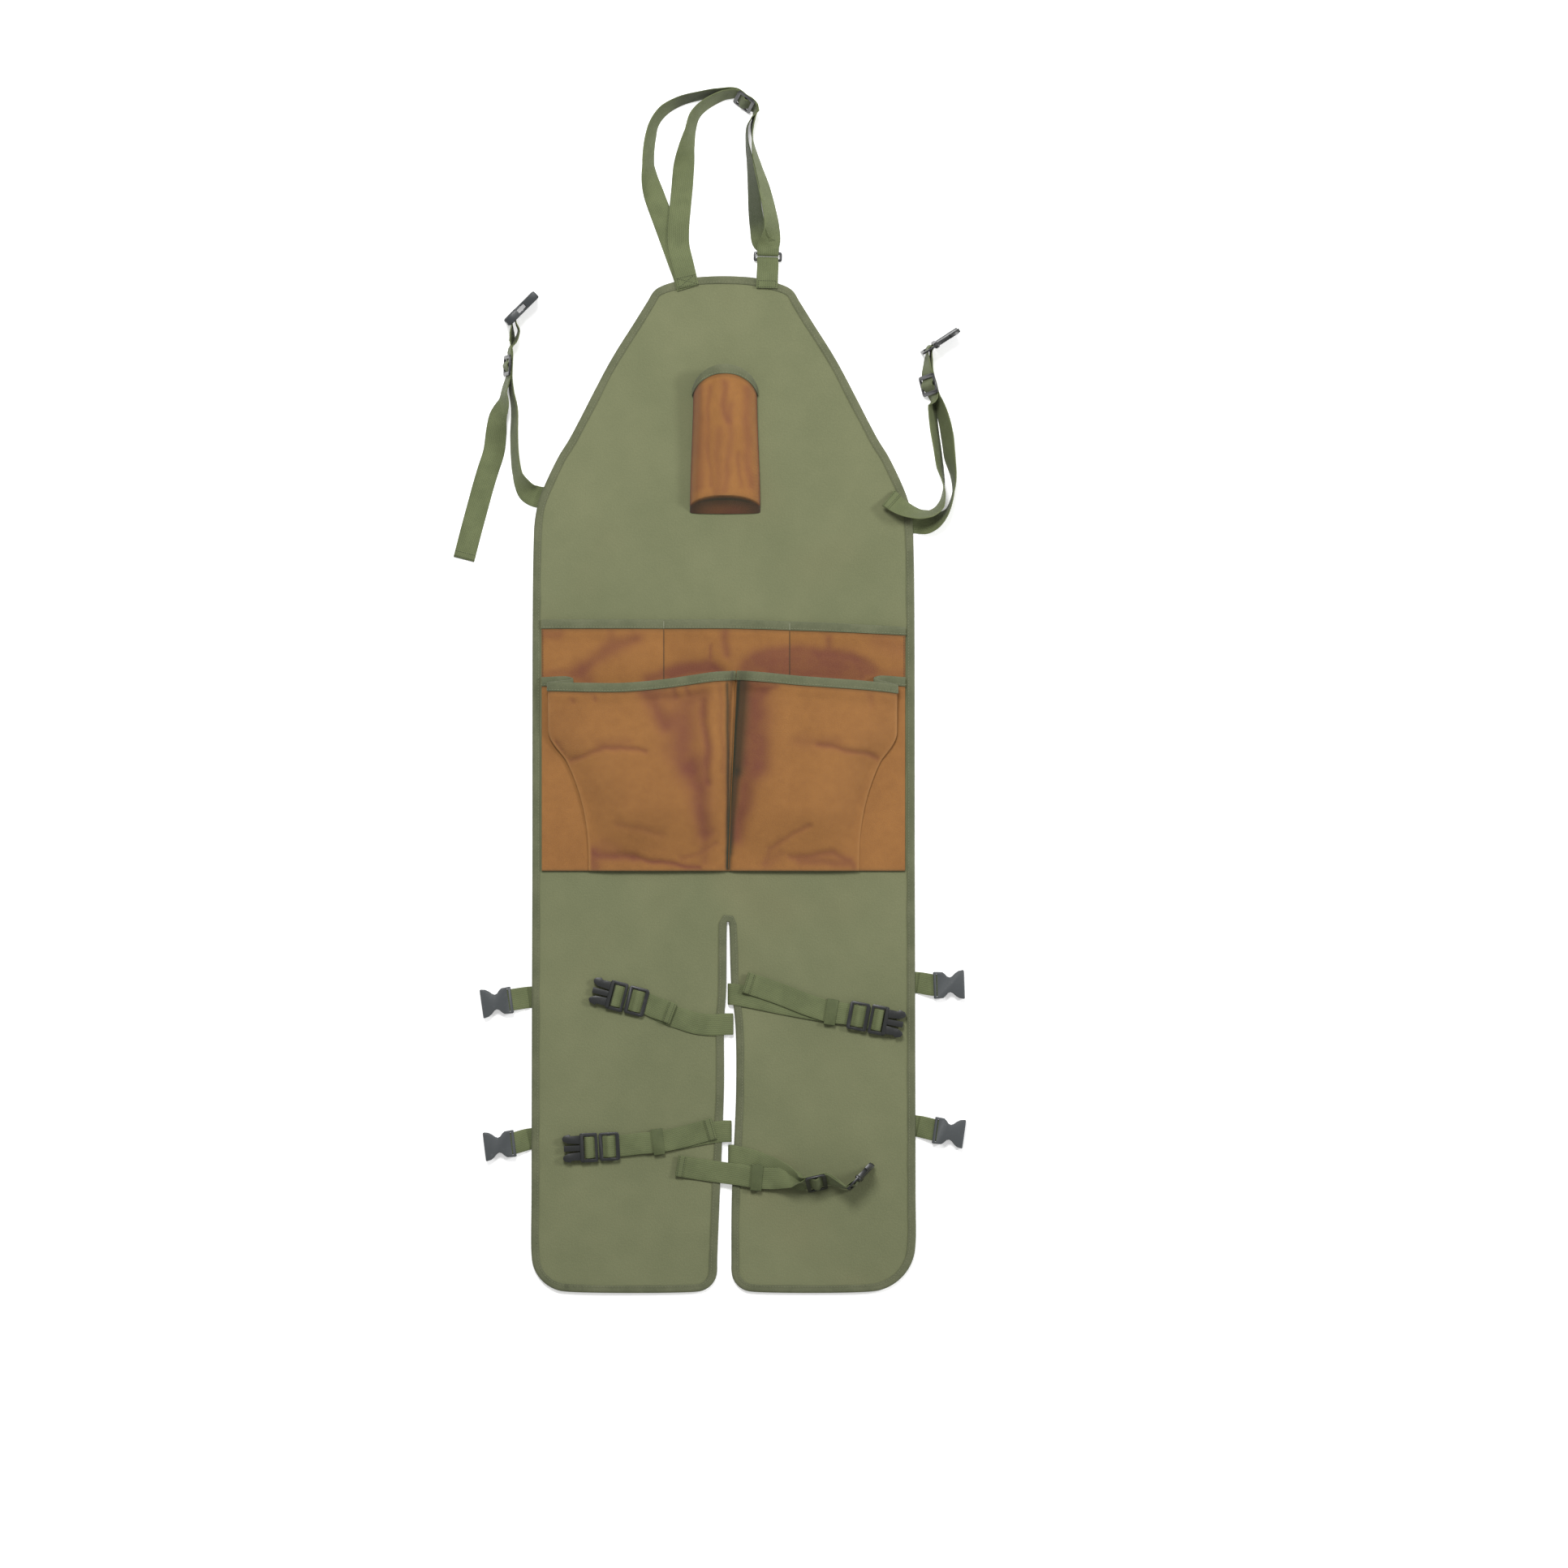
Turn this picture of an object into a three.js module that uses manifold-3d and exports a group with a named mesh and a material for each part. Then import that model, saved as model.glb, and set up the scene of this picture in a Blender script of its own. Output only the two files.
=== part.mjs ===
// Garden apron lying on its back, seen from the front.
// Millimetres, +Z up, +Y towards the neck, +X to the right in the front view.
// The origin is on the centre line, half way down the panel, on the floor it lies on.
import * as THREE from 'three';
import { mergeVertices } from 'three/addons/utils/BufferGeometryUtils.js';
import Module from 'manifold-3d';

const wasm = await Module();
wasm.setup();

// Driving dimensions
const APRON_LENGTH = 1182;
const APRON_WIDTH = 447;
const CANVAS = 1.6;
const POCKET_CLOTH = 1.2;
const TAPE_WALL = 1.0;
const TAPE_WIDTH = 9.0;
const GAP = 0.3;
const WEBBING_WIDTH = 25;
const WEBBING = 1.4;

const SLIT_HEIGHT = 430;
const OUTER_CORNER_LEFT = 43;
const OUTER_CORNER_RIGHT = 56;
const INNER_CORNER = 25;
const SLIT_TOP_GAP = 4.4;
const SLIT_GAP = 16.6;
const BACK_PATCH = 150;

const CHEST_POCKET_WIDTH = 79;
const CHEST_POCKET_LENGTH = 162;
const CHEST_POCKET_DEPTH = 28;
const REAR_POCKET_LENGTH = 291;
const REAR_POCKET_PUFF = 6.5;
const FRONT_POCKET_DEPTH = 25;

const SLIDER_LENGTH = 24;
const SLIDER_RAIL = 4.4;
const SLIDER_SIDE = 33;
const PLATE = 2.2;
const BAR = 3.2;
const BAR_SLOT = 6.8;
const LEG_PLUG_LENGTH = 41;
const WAIST_PLUG_LENGTH = 51;
const LEG_SOCKET_LENGTH = 36;
const WAIST_SOCKET_LENGTH = 48;
const BUCKLE_SIDE = 34;
const SOCKET_THICKNESS = 10;
const KEEPER_LENGTH = 13;
const RING_SLOT = 4.9;

// Heights of the layers above the floor
const BINDING_BOTTOM = WEBBING + GAP;
const PANEL_BOTTOM = BINDING_BOTTOM + TAPE_WALL + GAP;
const PANEL_TOP = PANEL_BOTTOM + CANVAS;
const BINDING_TOP = PANEL_TOP + GAP + TAPE_WALL;
const FRONT = BINDING_TOP + GAP;
const HALF = APRON_WIDTH / 2;

const across = (share) => share * HALF;
const down = (share) => APRON_LENGTH * (0.5 - share);
const smooth = (a, b, x) => THREE.MathUtils.smoothstep(x, a, b);
const mix = THREE.MathUtils.lerp;
const vec = (x, y, z) => new THREE.Vector3(x, y, z);
const degrees = THREE.MathUtils.degToRad;

// Colours of the pieces
const canvasGreen = { color: 0x82886a, roughness: 0.9, metalness: 0 };
const tapeGreen = { color: 0x6c745c, roughness: 0.85, metalness: 0 };
const webbingGreen = { color: 0x6c7650, roughness: 0.8, metalness: 0 };
const pocketBrown = { color: 0xa37344, roughness: 0.8, metalness: 0 };
const buckleGrey = { color: 0x40464a, roughness: 0.45, metalness: 0 };

const apron = new THREE.Group();

function piece(name, geometry, look, frame) {
  const mesh = new THREE.Mesh(geometry, new THREE.MeshStandardMaterial(look));
  mesh.name = name;
  if (frame) {
    mesh.position.copy(frame.at);
    const basis = new THREE.Matrix4().makeBasis(frame.t, frame.w, frame.n);
    mesh.quaternion.setFromRotationMatrix(basis);
  }
  apron.add(mesh);
}

function closedGeometry(points, triangles) {
  const geometry = new THREE.BufferGeometry();
  const flat = points.flatMap((p) => [p.x, p.y, p.z]);
  geometry.setAttribute('position', new THREE.Float32BufferAttribute(flat, 3));
  geometry.setIndex(triangles);
  return geometry;
}

// Booleans between closed meshes
function solidOf(geometry) {
  const bare = geometry.clone();
  bare.deleteAttribute('normal');
  bare.deleteAttribute('uv');
  const merged = mergeVertices(bare, 1e-4);
  return new wasm.Manifold(new wasm.Mesh({
    numProp: 3,
    vertProperties: new Float32Array(merged.attributes.position.array),
    triVerts: new Uint32Array(merged.index.array),
  }));
}

function geometryOf(solid) {
  const mesh = solid.getMesh();
  const geometry = new THREE.BufferGeometry();
  geometry.setAttribute('position', new THREE.BufferAttribute(mesh.vertProperties, 3));
  geometry.setIndex(new THREE.BufferAttribute(mesh.triVerts, 1));
  return geometry;
}

const joined = (...geometries) => geometries.map(solidOf).reduce((a, b) => a.add(b));
const cut = (solid, ...geometries) => geometries.map(solidOf).reduce((a, b) => a.subtract(b), solid);

const box = (x0, x1, halfWidth, halfHeight) =>
  new THREE.BoxGeometry(x1 - x0, 2 * halfWidth, 2 * halfHeight).translate((x0 + x1) / 2, 0, 0);

// A section, counterclockwise about the path, is carried through rings of points.
function sweep(rings, closed) {
  const count = rings[0].length;
  const points = rings.flat();
  const triangles = [];
  const last = closed ? rings.length : rings.length - 1;
  for (let i = 0; i < last; i += 1) {
    const a = i * count;
    const b = ((i + 1) % rings.length) * count;
    for (let j = 0; j < count; j += 1) {
      const k = (j + 1) % count;
      triangles.push(a + j, b + k, b + j, a + j, a + k, b + k);
    }
  }
  return { points, triangles, count };
}

function capped(rings, section) {
  const { points, triangles, count } = sweep(rings, false);
  const faces = THREE.ShapeUtils.triangulateShape(section, []);
  const end = (rings.length - 1) * count;
  for (const [a, b, c] of faces) {
    triangles.push(a, c, b);
    triangles.push(end + a, end + b, end + c);
  }
  return closedGeometry(points, triangles);
}

// Apron outline, outer edge of the binding, counterclockwise from above
// Half widths of the sides, as shares of half the width, against shares of the length.
const SIDE_ROWS = [
  // down, half
  [0.0003, 0.09],
  [0.0030, 0.20],
  [0.0128, 0.352],
  [0.0256, 0.398],
  [0.0447, 0.461],
  [0.0831, 0.588],
  [0.1597, 0.801],
  [0.1789, 0.863],
  [0.2173, 0.955],
  [0.2380, 0.981],
  [0.2700, 0.990],
  [0.6000, 0.996],
  [0.9000, 1.000],
];
// Centre and gap of the slit, as shares of its height down from its top
const SLIT_ROWS = [
  // along, centre as a share of half the width, gap from the narrow top to the wide part
  [0.00, 0.023, 0.0],
  [0.18, 0.027, 0.35],
  [0.27, 0.032, 0.9],
  [0.45, 0.034, 1.0],
  [0.75, 0.011, 1.0],
  [0.92, 0.004, 1.2],
];

function arc(centre, radius, from, to, steps) {
  const points = [];
  for (let i = 0; i <= steps; i += 1) {
    const a = degrees(mix(from, to, i / steps));
    points.push(new THREE.Vector2(centre.x + radius * Math.cos(a), centre.y + radius * Math.sin(a)));
  }
  return points;
}

function apronOutline() {
  const bottom = down(1);
  const side = (sign) => SIDE_ROWS.map(([d, half]) => new THREE.Vector2(sign * across(half), down(d)));
  const slitTop = bottom + SLIT_HEIGHT;
  const slit = SLIT_ROWS.map(([along, centre, wide]) => ({
    x: across(centre),
    y: slitTop - along * SLIT_HEIGHT,
    half: mix(SLIT_TOP_GAP, SLIT_GAP, wide) / 2 - TAPE_WALL - GAP,
  }));
  const low = slit[slit.length - 1];
  const leftIn = low.x - low.half;
  const rightIn = low.x + low.half;
  const square = (x, radius, sign) => new THREE.Vector2(x + sign * radius, bottom + radius);
  const top = slit[0];
  return [
    ...side(-1),
    ...arc(square(-across(1), OUTER_CORNER_LEFT, 1), OUTER_CORNER_LEFT, 180, 270, 5),
    ...arc(square(leftIn, INNER_CORNER, -1), INNER_CORNER, 270, 360, 4),
    ...slit.slice().reverse().map((s) => new THREE.Vector2(s.x - s.half, s.y)),
    ...arc(new THREE.Vector2(top.x, top.y), top.half, 180, 0, 4).slice(1, -1),
    ...slit.map((s) => new THREE.Vector2(s.x + s.half, s.y)),
    ...arc(square(rightIn, INNER_CORNER, 1), INNER_CORNER, 180, 270, 4),
    ...arc(square(across(1), OUTER_CORNER_RIGHT, -1), OUTER_CORNER_RIGHT, 270, 360, 5),
    ...side(1).reverse(),
  ];
}

// Each point moved inwards, square to the outline
function inset(outline, distance) {
  return outline.map((p, i) => {
    const before = outline[(i + outline.length - 1) % outline.length];
    const after = outline[(i + 1) % outline.length];
    const a = p.clone().sub(before).normalize();
    const b = after.clone().sub(p).normalize();
    const along = a.add(b).normalize();
    const cosine = Math.max(0.5, along.dot(b));
    return new THREE.Vector2(p.x - along.y * distance / cosine, p.y + along.x * distance / cosine);
  });
}

const outline = apronOutline();

// The panel's faces keep one whole patch in the middle, where the back lies on the wearer
function apronPanel() {
  const edge = inset(outline, TAPE_WALL + GAP);
  const corners = [[-1, -1], [-1, 1], [1, 1], [1, -1]];
  const patch = corners.map(([x, y]) => new THREE.Vector2(x * BACK_PATCH / 2, y * BACK_PATCH / 2));
  const places = [...edge, ...patch];
  const inner = edge.length;
  const faces = [
    ...THREE.ShapeUtils.triangulateShape(edge, [patch]),
    [inner, inner + 2, inner + 1], [inner, inner + 3, inner + 2],
  ];
  const level = (z) => places.map((p) => vec(p.x, p.y, z));
  const size = places.length;
  const triangles = faces.flatMap(([a, b, c]) => [a, c, b, size + a, size + b, size + c]);
  edge.forEach((_, i) => {
    const next = (i + 1) % inner;
    triangles.push(i, next, size + next, i, size + next, size + i);
  });
  return closedGeometry([...level(PANEL_BOTTOM), ...level(PANEL_TOP)], triangles);
}

// Tape folded round the edge: a U lying on its side
function edgeBinding() {
  const section = [
    [0, BINDING_BOTTOM],
    [TAPE_WIDTH, BINDING_BOTTOM],
    [TAPE_WIDTH, BINDING_BOTTOM + TAPE_WALL],
    [TAPE_WALL, BINDING_BOTTOM + TAPE_WALL],
    [TAPE_WALL, BINDING_TOP - TAPE_WALL],
    [TAPE_WIDTH, BINDING_TOP - TAPE_WALL],
    [TAPE_WIDTH, BINDING_TOP],
    [0, BINDING_TOP],
  ];
  const loops = new Map();
  for (const [inward] of section) {
    if (!loops.has(inward)) loops.set(inward, inset(outline, inward));
  }
  const rings = outline.map((_, i) => section.map(([inward, z]) => {
    const p = loops.get(inward)[i];
    return vec(p.x, p.y, z);
  }));
  const { points, triangles } = sweep(rings, true);
  return closedGeometry(points, triangles);
}

// Sheets of cloth
// A sheet is a middle surface over u and v; grid rows give v, columns give u.
function normalAt(surface, u, v) {
  const e = 0.002;
  const a = surface(Math.min(1, u + e), v).sub(surface(Math.max(0, u - e), v));
  const b = surface(u, Math.min(1, v + e)).sub(surface(u, Math.max(0, v - e)));
  return b.cross(a).normalize();
}

function clothSheet(surface, columns, rows, thickness) {
  const half = thickness / 2;
  const front = [];
  const back = [];
  for (const v of rows) {
    for (const u of columns) {
      const p = surface(u, v);
      const n = normalAt(surface, u, v);
      front.push(p.clone().addScaledVector(n, half));
      back.push(p.clone().addScaledVector(n, -half));
    }
  }
  const wide = columns.length;
  const size = front.length;
  const triangles = [];
  for (let r = 0; r < rows.length - 1; r += 1) {
    for (let c = 0; c < wide - 1; c += 1) {
      const a = r * wide + c;
      const quad = [a, a + 1, a + wide + 1, a + wide];
      const [p, q, s, t] = quad;
      triangles.push(p, s, q, p, t, s);
      triangles.push(size + p, size + q, size + s, size + p, size + s, size + t);
    }
  }
  const rim = [];
  for (let c = 0; c < wide; c += 1) rim.push(c);
  for (let r = 1; r < rows.length; r += 1) rim.push(r * wide + wide - 1);
  for (let c = wide - 2; c >= 0; c -= 1) rim.push((rows.length - 1) * wide + c);
  for (let r = rows.length - 2; r > 0; r -= 1) rim.push(r * wide);
  rim.forEach((a, i) => {
    const b = rim[(i + 1) % rim.length];
    triangles.push(a, b, size + b, a, size + b, size + a);
  });
  return closedGeometry([...front, ...back], triangles);
}

// Tape over the mouth of a pocket, where v is 0; the sheet's first row ends under the tape
function mouthTape(surface, columns, tapeRow, thickness) {
  const inner = thickness / 2 + GAP;
  const outer = inner + TAPE_WALL;
  const beyond = GAP + TAPE_WALL;
  const section = [
    [-beyond, -outer], [-beyond, outer], [1, outer], [1, inner],
    [-GAP, inner], [-GAP, -inner], [1, -inner], [1, -outer],
  ];
  const shape = section.map(([d, n]) => new THREE.Vector2(d > 0 ? -TAPE_WIDTH : -d, n));
  const rings = columns.map((u) => {
    const edge = surface(u, 0);
    const foot = surface(u, tapeRow);
    const outwards = edge.clone().sub(foot).normalize();
    return section.map(([d, n]) => {
      const v = d > 0 ? tapeRow : 0;
      const p = d > 0 ? foot.clone() : edge.clone().addScaledVector(outwards, -d);
      return p.addScaledVector(normalAt(surface, u, v), n);
    });
  });
  return capped(rings, shape);
}

const evenly = (count) => Array.from({ length: count + 1 }, (_, i) => i / count);

// Rear pocket: one sheet across the apron, sewn down at its sides, at two seams and at its foot
const REAR_TOP = down(0.3395);
const SEAM_LEFT = across(-0.3108);
const SEAM_RIGHT = across(0.3446);
const POCKET_HALF = across(0.988) - TAPE_WIDTH - GAP;

function compartment(x) {
  const bounds = [-POCKET_HALF, SEAM_LEFT, SEAM_RIGHT, POCKET_HALF];
  for (let i = 0; i < 3; i += 1) {
    if (x <= bounds[i + 1]) {
      const share = Math.max(0, (x - bounds[i]) / (bounds[i + 1] - bounds[i]));
      return Math.sin(Math.PI * Math.min(1, share)) ** 0.8;
    }
  }
  return 0;
}

// Under a mouth tape the sheet stands off by the tape's inner wall
const tapeRoom = (below) => (TAPE_WALL + GAP) * (1 - smooth(1.3 * TAPE_WIDTH, 2.8 * TAPE_WIDTH, below));

function rearMiddle(x, y) {
  const below = REAR_TOP - y;
  const share = below / REAR_POCKET_LENGTH;
  const depth = mix(1, 0.3, smooth(0.1, 0.35, share)) * (1 - smooth(0.6, 1, share));
  return PANEL_TOP + GAP + POCKET_CLOTH / 2 + tapeRoom(below) + REAR_POCKET_PUFF * compartment(x) * depth;
}

function rearSurface(u, v) {
  const x = mix(-POCKET_HALF, POCKET_HALF, u);
  const y = REAR_TOP - v * REAR_POCKET_LENGTH;
  return vec(x, y, rearMiddle(x, y));
}

const REAR_TAPE_ROW = TAPE_WIDTH / REAR_POCKET_LENGTH;
const rearEnds = [-POCKET_HALF, SEAM_LEFT, SEAM_RIGHT, POCKET_HALF].map((x) => x / (2 * POCKET_HALF) + 0.5);
const compartmentColumns = (i) => evenly(6).slice(1).map((s) => mix(rearEnds[i], rearEnds[i + 1], s));
const rearColumns = [0, ...[0, 1, 2].flatMap(compartmentColumns)];
const rearRows = [0, REAR_TAPE_ROW, 0.09, 0.16, 0.26, 0.42, 0.7, 1];

// Front pockets: bellows, pleated at the outer side, with a valley between them.
// Places are shares of half the apron's width, heights are shares of the pocket's depth.
const FRONT_FOOT = down(0.5855);
const LEFT_FOLDS = [
  // mouth place, foot place, mouth edge, height at mouth, middle, low, foot
  [-0.945, -0.945, 0.3959, 0.00, 0.00, 0.00, 0.00],
  [-0.8097, -0.6617, 0.3954, 0.05, 0.05, 0.04, 0.005],
  [-0.7886, -0.6364, 0.397, 0.15, 0.11, 0.08, 0.04],
  [-0.8097, -0.6617, 0.3986, 0.25, 0.17, 0.12, 0.08],
  [-0.8858, -0.666, 0.4002, 0.28, 0.20, 0.14, 0.085],
  [-0.9091, -0.6913, 0.401, 0.39, 0.28, 0.20, 0.12],
  [-0.8858, -0.6702, 0.401, 0.51, 0.38, 0.27, 0.155],
  [-0.704, -0.5772, 0.4018, 0.70, 0.75, 0.60, 0.155],
  [-0.5137, -0.4926, 0.4018, 0.85, 1.00, 0.78, 0.155],
  [-0.3023, -0.3235, 0.3982, 0.92, 0.95, 0.75, 0.155],
  [-0.1755, -0.1755, 0.3946, 0.80, 0.70, 0.62, 0.14],
  [-0.0402, -0.0825, 0.391, 0.90, 0.80, 0.50, 0.12],
  [0.0275, -0.0233, 0.3902, 0.60, 0.45, 0.25, 0.06],
  [0.0465, 0.0021, 0.3898, 0.08, 0.05, 0.03, 0.00],
  [0.0613, 0.0203, 0.3898, 0.00, 0.00, 0.00, 0.00],
];
const RIGHT_FOLDS = [
  [0.0719, 0.0271, 0.3898, 0.00, 0.00, 0.00, 0.00],
  [0.0867, 0.0444, 0.3898, 0.08, 0.05, 0.03, 0.00],
  [0.129, 0.0782, 0.3902, 0.50, 0.40, 0.25, 0.07],
  [0.2262, 0.1543, 0.3918, 0.85, 0.80, 0.55, 0.13],
  [0.3953, 0.2981, 0.395, 0.97, 0.97, 0.78, 0.155],
  [0.5645, 0.4672, 0.3974, 0.90, 1.00, 0.78, 0.155],
  [0.7336, 0.5856, 0.3998, 0.76, 0.80, 0.62, 0.155],
  [0.8732, 0.6744, 0.4026, 0.51, 0.38, 0.27, 0.155],
  [0.9006, 0.6956, 0.4034, 0.39, 0.28, 0.20, 0.12],
  [0.8774, 0.6702, 0.4018, 0.28, 0.20, 0.14, 0.085],
  [0.8097, 0.666, 0.3986, 0.25, 0.17, 0.12, 0.08],
  [0.7886, 0.6406, 0.3962, 0.15, 0.11, 0.08, 0.04],
  [0.8097, 0.666, 0.3946, 0.05, 0.05, 0.04, 0.005],
  [0.945, 0.945, 0.3959, 0.00, 0.00, 0.00, 0.00],
];

function frontSurface(folds) {
  const drift = (v) => Math.max(0, (v - 0.2) / 0.8) ** 0.6;
  const height = (row, v) => {
    const [, , , mouth, middle, low, foot] = row;
    if (v < 0.45) return mix(mouth, middle, smooth(0, 0.45, v));
    if (v < 0.92) return mix(middle, low, smooth(0.45, 0.92, v));
    return mix(low, foot, (v - 0.92) / 0.08);
  };
  return (u, v) => {
    const controls = folds.map((row) => {
      const [mouthPlace, footPlace, mouthEdge] = row;
      const place = across(mix(mouthPlace, footPlace, drift(v)));
      return vec(place, down(mouthEdge), height(row, v) * FRONT_POCKET_DEPTH);
    });
    const p = new THREE.CatmullRomCurve3(controls).getPoint(u);
    const y = mix(p.y, FRONT_FOOT, v);
    const base = rearMiddle(p.x, y) + POCKET_CLOTH + 2 * GAP + tapeRoom(p.y - y);
    return vec(p.x, y, base + p.z);
  };
}

// Chest pocket: half a tube, open at the top, closed by a sloping gusset at its foot
const CHEST_CENTRE = across(0.0085);
const CHEST_MOUTH_SIDE = down(0.1038);
const CHEST_MOUTH_RISE = 17;

function chestSurface(u, v) {
  const angle = Math.PI * u;
  const turn = Math.cos(angle);
  const half = CHEST_POCKET_WIDTH / 2 - POCKET_CLOTH;
  const x = CHEST_CENTRE - half * Math.sign(turn) * Math.abs(turn) ** 0.8;
  const fold = 1 + 0.05 * Math.cos(8 * angle) * Math.sin(angle);
  const depth = mix(1, 0.8, smooth(0, 0.9, v)) * (v > 0.9 ? mix(1, 0.06, (v - 0.9) / 0.1) : 1);
  const rise = CHEST_POCKET_DEPTH * depth * fold * Math.sin(angle) ** 0.75;
  const mouth = CHEST_MOUTH_SIDE + CHEST_MOUTH_RISE * Math.sin(angle);
  const foot = CHEST_MOUTH_SIDE - CHEST_POCKET_LENGTH + CHEST_MOUTH_RISE / 2;
  return vec(x, mix(mouth, foot, v), PANEL_TOP + GAP + rise);
}

// Webbing
// A station is a point on the strap's middle line with the direction of its width.
const LIFT = PLATE / 2 + GAP + WEBBING / 2;
const LAYER = WEBBING + GAP;
const HOLE_HALF = WEBBING_WIDTH / 2 + 1;
const FINE_BEND = degrees(24);
const UNDER = LIFT + LAYER;

function rest(roll, width, thickness) {
  const angle = degrees(roll);
  return (width * Math.abs(Math.sin(angle)) + thickness * Math.abs(Math.cos(angle))) / 2;
}

// Rows hold the place as shares, the roll from lying flat, and the height in floor-to-front steps
function strand(rows) {
  const places = rows.map(([x, y]) => new THREE.Vector2(across(x), down(y)));
  return rows.map(([, , roll, over], i) => {
    const before = places[Math.max(0, i - 1)];
    const after = places[Math.min(rows.length - 1, i + 1)];
    const heading = after.clone().sub(before).normalize();
    const angle = degrees(roll);
    const w = vec(-heading.y * Math.cos(angle), heading.x * Math.cos(angle), Math.sin(angle));
    const z = rest(roll, WEBBING_WIDTH, WEBBING) + over * FRONT;
    return { at: vec(places[i].x, places[i].y, z), w };
  });
}

// Frame of a buckle or slider: t along the strap, w across it, n off its face
function frame([x, y, azimuth, pitch, roll, over]) {
  const [a, p, r] = [azimuth, pitch, roll].map(degrees);
  const t = vec(Math.cos(a) * Math.cos(p), Math.sin(a) * Math.cos(p), Math.sin(p));
  const left = vec(-Math.sin(a), Math.cos(a), 0);
  const w = left.clone().multiplyScalar(Math.cos(r)).addScaledVector(t.clone().cross(left), Math.sin(r));
  const lean = SLIDER_LENGTH / 2 * Math.abs(Math.sin(p));
  const z = rest(roll, BUCKLE_SIDE, 2 * UNDER + WEBBING) + lean + over * FRONT;
  return { at: vec(across(x), down(y), z), t, w, n: t.clone().cross(w) };
}

function stations(place, pairs) {
  return pairs.map(([s, n]) => ({
    at: place.at.clone().addScaledVector(place.t, s).addScaledVector(place.n, n),
    w: place.w,
  }));
}

const APPROACH = SLIDER_LENGTH / 2 + 2.7 * GAP;
const BAR_EDGE = SLIDER_LENGTH / 2 - SLIDER_RAIL;

const underSlider = (place) => stations(place, [[-APPROACH, -UNDER], [0, -UNDER], [APPROACH, -UNDER]]);
const overSlider = (place) => stations(place, [
  [-APPROACH, -LIFT], [-BAR_EDGE, -LIFT], [-BAR_EDGE / 2, 0.05 * LIFT], [-BAR / 2, LIFT],
  [BAR / 2, LIFT], [BAR_EDGE / 2, 0.05 * LIFT], [BAR_EDGE, -LIFT], [APPROACH, -LIFT],
]);

// Half turn round a bar at s, entering below its face and leaving above it
const turnRound = (place, s, side) => {
  const reach = side * (BAR / 2 + WEBBING / 2 + 2.7 * GAP);
  const rise = LIFT + 0.7 * GAP;
  return stations(place, [
    [s, -rise], [s + 0.7 * reach, -0.7 * rise], [s + reach, 0], [s + 0.7 * reach, 0.7 * rise], [s, rise],
  ]);
};

const endBar = (length) => -length / 2 + BAR / 2;
const strapBar = (length) => endBar(length) + BAR + BAR_SLOT;

// The strap lies flat along a plug: under the end bar, round the strap bar and back
function alongPlug(place, length) {
  const [end, middle] = [endBar(length), strapBar(length)];
  return [
    ...stations(place, [[end - 2 * GAP, -UNDER], [end + 0.6 * BAR, -UNDER + GAP / 3]]),
    ...turnRound(place, middle, 1),
    ...stations(place, [[middle - BAR / 2 - 1.3 * GAP, LIFT + 0.7 * GAP]]),
    ...stations(place, [[end + BAR / 2 + 1.3 * GAP, -LIFT], [end - 2 * GAP, -LIFT]]),
  ];
}

// The buckle hangs across the strap: both strands leave its back at a slant
function aroundBar(place, length) {
  const middle = strapBar(length);
  return [
    ...stations(place, [[middle - 0.62 * BAR_SLOT, -4 * LIFT], [middle - 0.44 * BAR, -UNDER]]),
    ...turnRound(place, middle, 1),
    ...stations(place, [[middle - 0.58 * BAR_SLOT, 0.2 * LIFT], [middle - BAR_SLOT, -2 * LIFT]]),
  ];
}

function ribbon(path) {
  const turned = [];
  for (const { at, w } of path) {
    const before = turned[turned.length - 1];
    const sign = before && before.w.dot(w) < 0 ? -1 : 1;
    turned.push({ at, w: w.clone().multiplyScalar(sign) });
  }
  const spans = turned.length - 1;
  const curve = new THREE.CatmullRomCurve3(turned.map((s) => s.at), false, 'centripetal');
  const places = [0];
  for (let i = 0; i < spans; i += 1) {
    const bend = curve.getTangent(i / spans).angleTo(curve.getTangent((i + 1) / spans));
    if (bend > FINE_BEND) places.push(i + 0.5);
    places.push(i + 1);
  }
  const rings = places.map((here) => {
    const a = Math.min(Math.floor(here), spans - 1);
    const t = curve.getTangent(here / spans);
    const w = turned[a].w.clone().lerp(turned[a + 1].w, here - a);
    w.addScaledVector(t, -w.dot(t)).setLength(WEBBING_WIDTH / 2);
    const n = t.clone().cross(w).setLength(WEBBING / 2);
    const p = curve.getPoint(here / spans);
    p.z = Math.max(p.z, Math.abs(w.z) + Math.abs(n.z));
    return [
      p.clone().sub(w).sub(n), p.clone().add(w).sub(n), p.clone().add(w).add(n), p.clone().sub(w).add(n),
    ];
  });
  const corners = [[-1, -1], [1, -1], [1, 1], [-1, 1]];
  return capped(rings, corners.map(([x, y]) => new THREE.Vector2(x, y)));
}

// Moulded parts, each about its own centre: x along the strap, y across it, z off its face
function roundedRectangle(length, width, radius) {
  const path = new THREE.Shape();
  const [x, y] = [length / 2 - radius, width / 2 - radius];
  path.absarc(x, y, radius, 0, Math.PI / 2);
  path.absarc(-x, y, radius, Math.PI / 2, Math.PI);
  path.absarc(-x, -y, radius, Math.PI, 1.5 * Math.PI);
  path.absarc(x, -y, radius, 1.5 * Math.PI, 2 * Math.PI);
  return path;
}

const plate = (shape, thickness, bevel = 0) => {
  const geometry = new THREE.ExtrudeGeometry(shape, {
    depth: thickness - 2 * bevel,
    curveSegments: 1,
    bevelEnabled: bevel > 0,
    bevelThickness: bevel,
    bevelSize: bevel,
    bevelOffset: -bevel,
    bevelSegments: 1,
  });
  return geometry.translate(0, 0, bevel - thickness / 2);
};

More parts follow.
